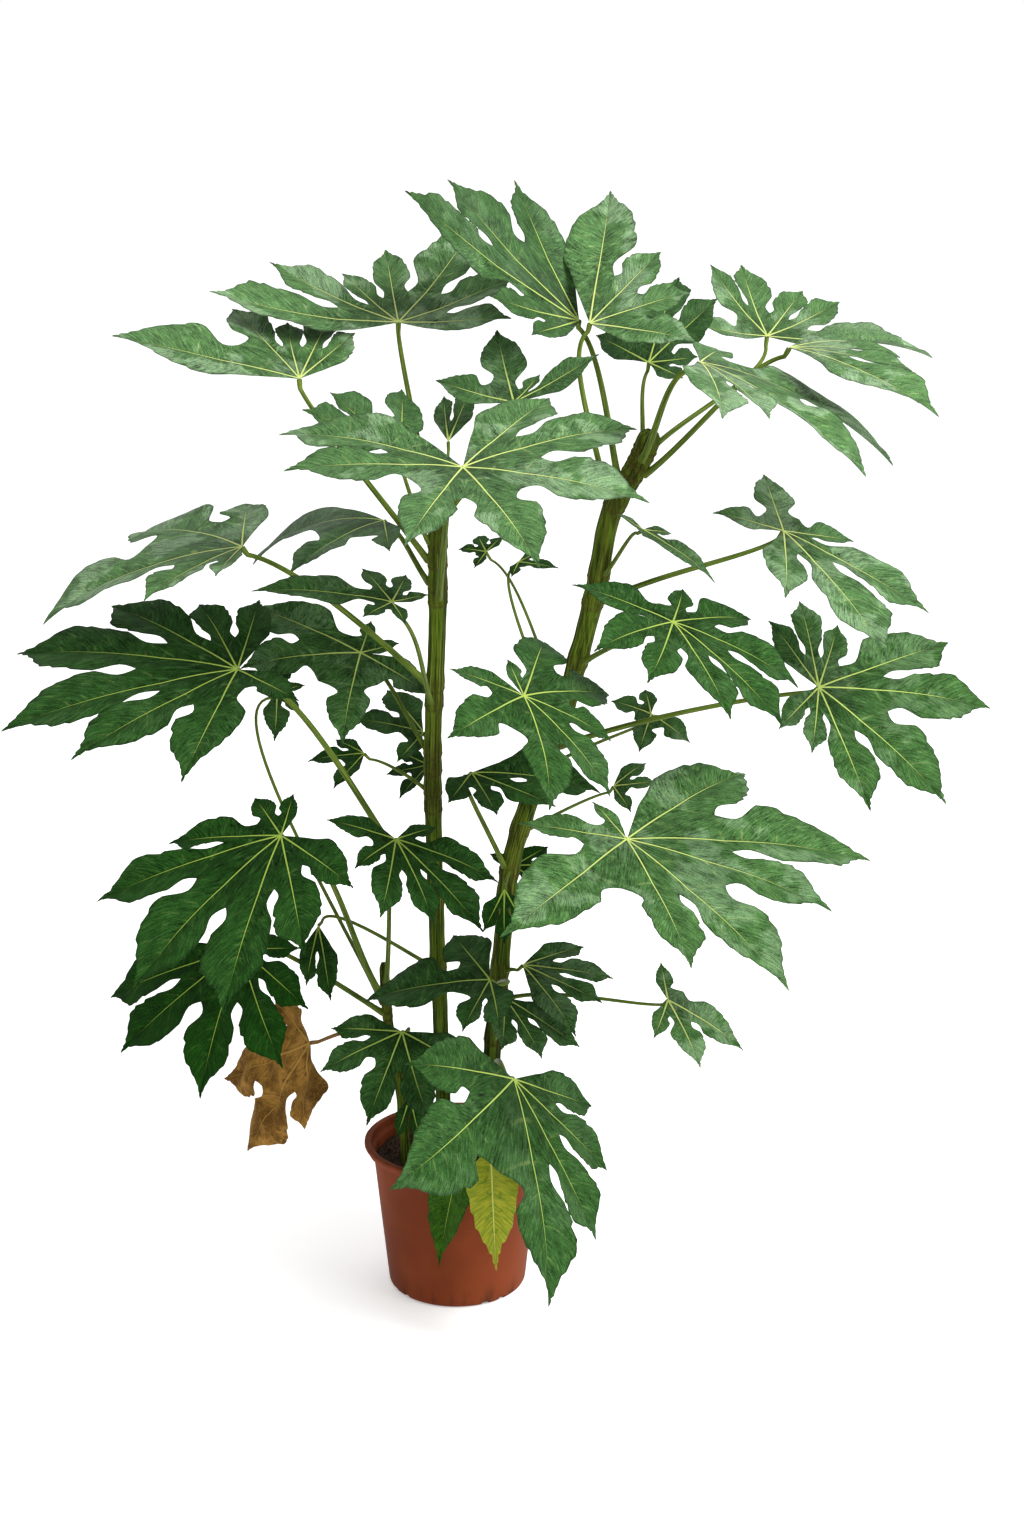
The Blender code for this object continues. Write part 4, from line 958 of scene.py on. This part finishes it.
def blade(leaf, rng, crumple):
    """Closed blade: the upper face, a lower face one thickness under it with ribs on it, and the rim."""
    grid, plan, looks, rib = blade_grid(leaf, rng, crumple)
    thick = BLADE + RIB * math.sqrt(leaf.reach / 0.2) * rib
    thick = np.broadcast_to(thick[..., None], plan.shape)
    points, triangles, (plan, looks, thick) = knit(grid, [plan, looks, thick])
    triangles = triangles[:, ::-1]
    under = points - point_normals(points, triangles) * thick[:, :1]
    count = len(points)
    a, b = open_edges(triangles)
    rim = np.vstack([np.stack([a, a + count, b + count], 1), np.stack([a, b + count, b], 1)])
    triangles = np.vstack([triangles, triangles[:, ::-1] + count, rim])
    points = np.array(leaf.hub) + np.vstack([points, under]) @ blade_axes(leaf.turn).T
    looks = np.vstack([looks, looks + (1.0, 0.0, 0.0)])
    return points, triangles, [np.vstack([plan, plan]), looks], 0


def petiole_line(leaf, direction, outward):
    """Centre line of a leaf stalk: a cubic curve from the stem's skin to the hub, in through the gap between
    the basal lobes; it starts inside the stem and ends inside the blade's hub."""
    hub = np.array(leaf.hub)
    bow = np.array(leaf.own.get("bow", (0.0, 0.0, 0.0)))
    centre = stem_centre(leaf.stem, leaf.foot)
    foot = centre + outward * stem_radius(leaf.stem, leaf.foot)
    axes = blade_axes(leaf.turn)
    up = axes[:, 2]
    gap = math.radians((leaf.lobes[0][0] + leaf.lobes[-1][0]) / 2 + 180)
    inward = axes @ np.array([math.cos(gap), math.sin(gap), 0.0])
    start = unit(unit(hub - centre) + LEAN_UP * direction + LEAN_OUT * outward)
    span = np.linalg.norm(hub - foot)
    near = hub - up * HUB_DEPTH + inward * HUB_ASIDE
    first = foot + start * span * FOOT_PULL + bow
    second = near + inward * span * HUB_PULL - up * span * HUB_DROP + bow
    t = np.linspace(0, 1, PETIOLE_RINGS)[:, None]
    s = 1 - t
    path = s**3 * foot + 3 * s * s * t * first + 3 * s * t * t * second + t**3 * near
    ends = [(near + hub) / 2 - up * HUB_ENDS[0], hub - up * HUB_ENDS[1]]
    return np.vstack([foot - outward * FOOT_DEPTH, path, ends])


def petiole(leaf):
    """Leaf stalk: a tube that swells at the foot, where it clasps the stem, and again under the blade."""
    centre = stem_centre(leaf.stem, leaf.foot)
    above = stem_centre(leaf.stem, leaf.foot + NODE_LENGTH)
    direction = unit(above - stem_centre(leaf.stem, leaf.foot - NODE_LENGTH))
    towards = unit(np.array(leaf.hub) - centre)
    outward = unit(towards - direction * (direction @ towards))
    path = petiole_line(leaf, direction, outward)
    share = np.linspace(0, 1, len(path))[:, None]
    swelling = 0.75 * np.exp(-share / 0.035) + 0.22 * smooth_step(share, 0.9, 1.0)
    radii = (PETIOLE_LEAST + PETIOLE_GROWTH * leaf.reach) * (1.05 - 0.38 * share + swelling)
    reference = np.cross(unit(leaf.hub - path[1]), outward)
    if np.linalg.norm(reference) < 0.05:
        reference = np.array([0.31, 0.57, 0.76])
    return *tube(path, radii, PETIOLE_SIDES, unit(reference)), 1


def make_leaf(number, leaf, surfaces):
    """Leaf: its blade and its petiole as one piece, in the finishes of its slot."""
    rng = np.random.default_rng(LEAF_SEED + number)
    slot = "leaf_light" if leaf.hub[2] > DARK_BELOW else "leaf_dark"
    slot = {AGEING: "leaf_yellowing", DRIED: "leaf_dried"}.get(leaf.name, slot)
    skin = surfaces["leaf_fresh" if leaf.name == FRESH else slot]
    stalk = surfaces["petiole_dried" if leaf.name == DRIED else "petiole"]
    crumple = CRUMPLE if leaf.name == DRIED else 0.0
    make_piece(leaf.name, [blade(leaf, rng, crumple), petiole(leaf)], [skin, stalk], 50.0)


def rounded(corners, radii):
    """Profile with each inner corner replaced by a curve that starts and ends its radius away from it."""
    corner = corners[1:-1]
    start = corner + unit(corners[:-2] - corner) * radii[:, None]
    end = corner + unit(corners[2:] - corner) * radii[:, None]
    t = np.linspace(0, 1, ROUNDING_STEPS)[:, None]
    arcs = (1 - t) ** 2 * start[:, None] + 2 * t * (1 - t) * corner[:, None] + t**2 * end[:, None]
    return np.vstack([corners[:1], arcs.reshape(-1, 2), corners[-1:]])


def revolved(profile, sides):
    """Surface of revolution round Z: the profile (radius, height) carried round in equal turns."""
    turns = np.linspace(0, 2 * math.pi, sides + 1)
    radius, height = profile.T[..., None]
    grid = np.stack([radius * np.cos(turns), radius * np.sin(turns), height + 0 * turns], -1)
    grid[:, -1] = grid[:, 0]
    return grid


def turned(places, turn):
    """Places turned about Z by an angle in radians."""
    cos = math.cos(turn)
    sin = math.sin(turn)
    return places @ np.array([(cos, sin, 0), (-sin, cos, 0), (0, 0, 1)])


def wall_radius(height):
    top = RIM_RADIUS - COLLAR_STEP
    return FOOT_RADIUS + (top - FOOT_RADIUS) * height / (POT_HEIGHT - COLLAR_HEIGHT)


def inside_radius(height):
    step = POT_HEIGHT - COLLAR_HEIGHT
    low = wall_radius(0) - WALL
    high = wall_radius(step) - WALL
    return low + (high - low) * (height - FOOT_ROUNDING) / (step - FOOT_ROUNDING)


def pot_profile():
    """Foot, tapered wall, flared collar under a rolled rim, and the same back down inside to the floor. A row
    is a corner's radius, its height and how much it is rounded."""
    step = POT_HEIGHT - COLLAR_HEIGHT
    bead_foot = POT_HEIGHT - 2 * BEAD
    rows = np.array([
        (0.0, 0.0, 0.0),
        (wall_radius(0), 0.0, FOOT_ROUNDING),
        (wall_radius(step), step, 0.0008),
        (RIM_RADIUS - COLLAR_FLARE, step + 0.001, 0.0012),
        (RIM_RADIUS - BEAD, bead_foot - BEAD, 0.001),
        (RIM_RADIUS, bead_foot, 0.0008),
        (RIM_RADIUS, POT_HEIGHT, 0.0018),
        (RIM_RADIUS - LIP, POT_HEIGHT, 0.0018),
        (RIM_RADIUS - LIP - 0.001, step + 0.003, 0.0015),
        (wall_radius(step) - WALL, step, 0.0015),
        (wall_radius(0) - WALL, FLOOR, FOOT_ROUNDING / 2),
        (0.0, FLOOR, 0.0),
    ])
    return rounded(rows[:, :2], rows[1:-1, 2])


def drain_cutter():
    """Helper: the boxes that cut the drain slots, two at each quarter of the foot."""
    signs = np.array([(x, y, z) for x in (-1, 1) for y in (-1, 1) for z in (-1, 1)])
    box = signs * (FOOT_ROUNDING, DRAIN_WIDTH / 2, DRAIN_HEIGHT) + (FOOT_RADIUS, 0.0, 0.0)
    faces = np.array([(0, 1, 3, 2), (4, 6, 7, 5), (0, 4, 5, 1), (2, 3, 7, 6), (0, 2, 6, 4), (1, 5, 7, 3)])
    quarters = DRAIN_FIRST_ANGLE + np.arange(DRAIN_PAIRS) * 360 / DRAIN_PAIRS
    turns = np.radians(quarters[:, None] + (0.0, DRAIN_PAIR_ANGLE)).reshape(-1)
    points = np.vstack([turned(box, turn) for turn in turns])
    quads = np.vstack([faces + len(box) * k for k in range(len(turns))])
    mesh = bpy.data.meshes.new("drain_cutter")
    mesh.from_pydata(points, [], quads)
    cutter = bpy.data.objects.new("drain_cutter", mesh)
    bpy.context.scene.collection.objects.link(cutter)
    return cutter


def make_pot(surface):
    """Pot: its profile carried round, less the drain slots."""
    grid = revolved(pot_profile(), POT_SIDES)
    pot = make_piece("pot", [knit_plain(grid)], [surface], 40.0)
    cutter = drain_cutter()
    cut = pot.modifiers.new("drain", "BOOLEAN")
    cut.operation = "DIFFERENCE"
    cut.solver = "EXACT"
    cut.object = cutter
    bpy.context.view_layer.update()
    whole = bpy.data.meshes.new_from_object(pot.evaluated_get(bpy.context.evaluated_depsgraph_get()))
    pot.modifiers.clear()
    pot.data = whole
    whole.name = "pot"
    bpy.data.objects.remove(cutter, do_unlink=True)


def crumb_height(x, y):
    """Uneven soil: the frame's broad waves with finer crossed waves on them."""
    broad = np.sin(190 * x + 70 * y) + np.sin(-120 * x + 230 * y + 1.3) + np.sin(410 * x - 350 * y + 0.7)
    fine = np.sin(900 * x + 640 * y) * np.sin(760 * y - 530 * x + 2)
    fine = fine + np.sin(1500 * x - 400 * y) * np.sin(1300 * y)
    return 0.0008 * broad + 0.0009 * fine


def make_soil(surface):
    """Filled root ball with an uneven top, and small lumps of peat lying in it."""
    bottom = FLOOR + SOIL_GAP
    edge = SOIL_TOP - SOIL_EDGE
    low = inside_radius(FOOT_ROUNDING) - SOIL_GAP
    high = inside_radius(edge) - SOIL_GAP
    side = [(0.0, bottom), (low - FOOT_ROUNDING / 2, bottom), (low, FOOT_ROUNDING + SOIL_GAP), (high, edge)]
    top = [(radius, SOIL_TOP) for radius in np.linspace(high - SOIL_EDGE / 2, 0, SOIL_RINGS)]
    grid = revolved(np.array(side + top), SOIL_SIDES)
    x, y, z = np.moveaxis(grid, -1, 0)
    grid[..., 2] += np.where(z > edge + SOIL_EDGE / 2, crumb_height(x, y), 0.0)
    rng = np.random.default_rng(LUMP_SEED)
    lumps = [lump(rng, high) for k in range(LUMPS)]
    make_piece("soil", [knit_plain(grid), *lumps], [surface], 60.0)


def lump(rng, limit):
    """One lump: a squashed ball whose radius is uneven in two crossed waves, half sunk in the soil. Its rows
    run down, so its triangles are turned round."""
    turn = rng.uniform(0, 2 * math.pi)
    out = math.sqrt(rng.uniform(0, 1)) * (limit - 0.006)
    x = out * math.cos(turn)
    y = out * math.sin(turn)
    size = rng.uniform(*LUMP_SIZES) * np.array([1.0, rng.uniform(0.5, 1.0), rng.uniform(0.4, 0.7)])
    polar = np.linspace(0, math.pi, 7)[:, None]
    azimuth = np.linspace(0, 2 * math.pi, 9)
    uneven = 1 + 0.18 * np.sin(3 * azimuth + rng.uniform(0, 6)) * np.sin(2 * polar)
    level = np.sin(polar)
    ball = np.stack([level * np.cos(azimuth), level * np.sin(azimuth), np.cos(polar) + 0 * azimuth], -1)
    ball = ball * uneven[..., None] * size
    ball[:, -1] = ball[:, 0]
    ball = turned(ball, rng.uniform(0, 6.3)) + (x, y, SOIL_TOP + float(crumb_height(x, y)))
    points, triangles, extras, number = knit_plain(ball)
    return points, triangles[:, ::-1], extras, number


def make_camera():
    data = bpy.data.cameras.new("camera")
    data.sensor_fit = "VERTICAL"
    data.sensor_height = SENSOR
    data.lens = FOCAL_PIXELS / PHOTO_HEIGHT * SENSOR
    camera = bpy.data.objects.new("camera", data)
    camera.location = CAMERA_PLACE
    camera.rotation_euler = (math.radians(90 - CAMERA_TILT), 0.0, 0.0)
    bpy.context.scene.collection.objects.link(camera)
    bpy.context.scene.camera = camera


def make_lamp():
    """Broad round lamp that faces its aim."""
    data = bpy.data.lights.new("key", "AREA")
    data.shape = "DISK"
    data.size = LAMP_WIDTH
    data.energy = LAMP_POWER
    lamp = bpy.data.objects.new("key", data)
    lamp.location = LAMP_PLACE
    x, y, z = np.array(LAMP_AIM) - LAMP_PLACE
    lamp.rotation_euler = (math.atan2(math.hypot(x, y), -z), 0.0, math.atan2(y, x) - math.pi / 2)
    bpy.context.scene.collection.objects.link(lamp)


def make_room():
    """Pale floor that glows a little, and white surroundings."""
    mesh = bpy.data.meshes.new("floor")
    corners = [(x * FLOOR_HALF, y * FLOOR_HALF, 0) for x, y in ((-1, -1), (1, -1), (1, 1), (-1, 1))]
    mesh.from_pydata(corners, [], [(0, 1, 2, 3)])
    floor = bpy.data.objects.new("floor", mesh)
    bpy.context.scene.collection.objects.link(floor)
    surface = Finish(
        "floor_pale",
        Base_Color=FLOOR_WHITE,
        Roughness=0.9,
        Emission_Color=FLOOR_WHITE,
        Emission_Strength=FLOOR_GLOW,
    )
    mesh.materials.append(surface.material)
    room = bpy.data.worlds.new("room")
    room.use_nodes = True
    background = room.node_tree.nodes["Background"]
    background.inputs["Color"].default_value = ROOM_WHITE
    background.inputs["Strength"].default_value = 1.0
    bpy.context.scene.world = room


def main():
    bpy.context.scene.view_settings.view_transform = "Standard"
    make_camera()
    make_room()
    make_lamp()
    surfaces = {
        "leaf_light": leaf_finish("leaf_light", 0.14),
        "leaf_dark": leaf_finish("leaf_dark", 0.03),
        "leaf_fresh": leaf_finish("leaf_fresh", 0.03, LEAF_FRESH),
        "leaf_yellowing": ageing_finish(),
        "leaf_dried": dried_finish(),
        "petiole": petiole_finish("petiole_green", PETIOLE_STREAKS),
        "petiole_dried": petiole_finish("petiole_dried", DRIED_STREAKS),
    }
    make_pot(terracotta_finish())
    make_soil(soil_finish())
    stem_bark = bark_finish()
    for name in STEMS:
        make_stem(name, stem_bark)
    for number, leaf in enumerate(LEAVES):
        make_leaf(number, leaf, surfaces)


main()
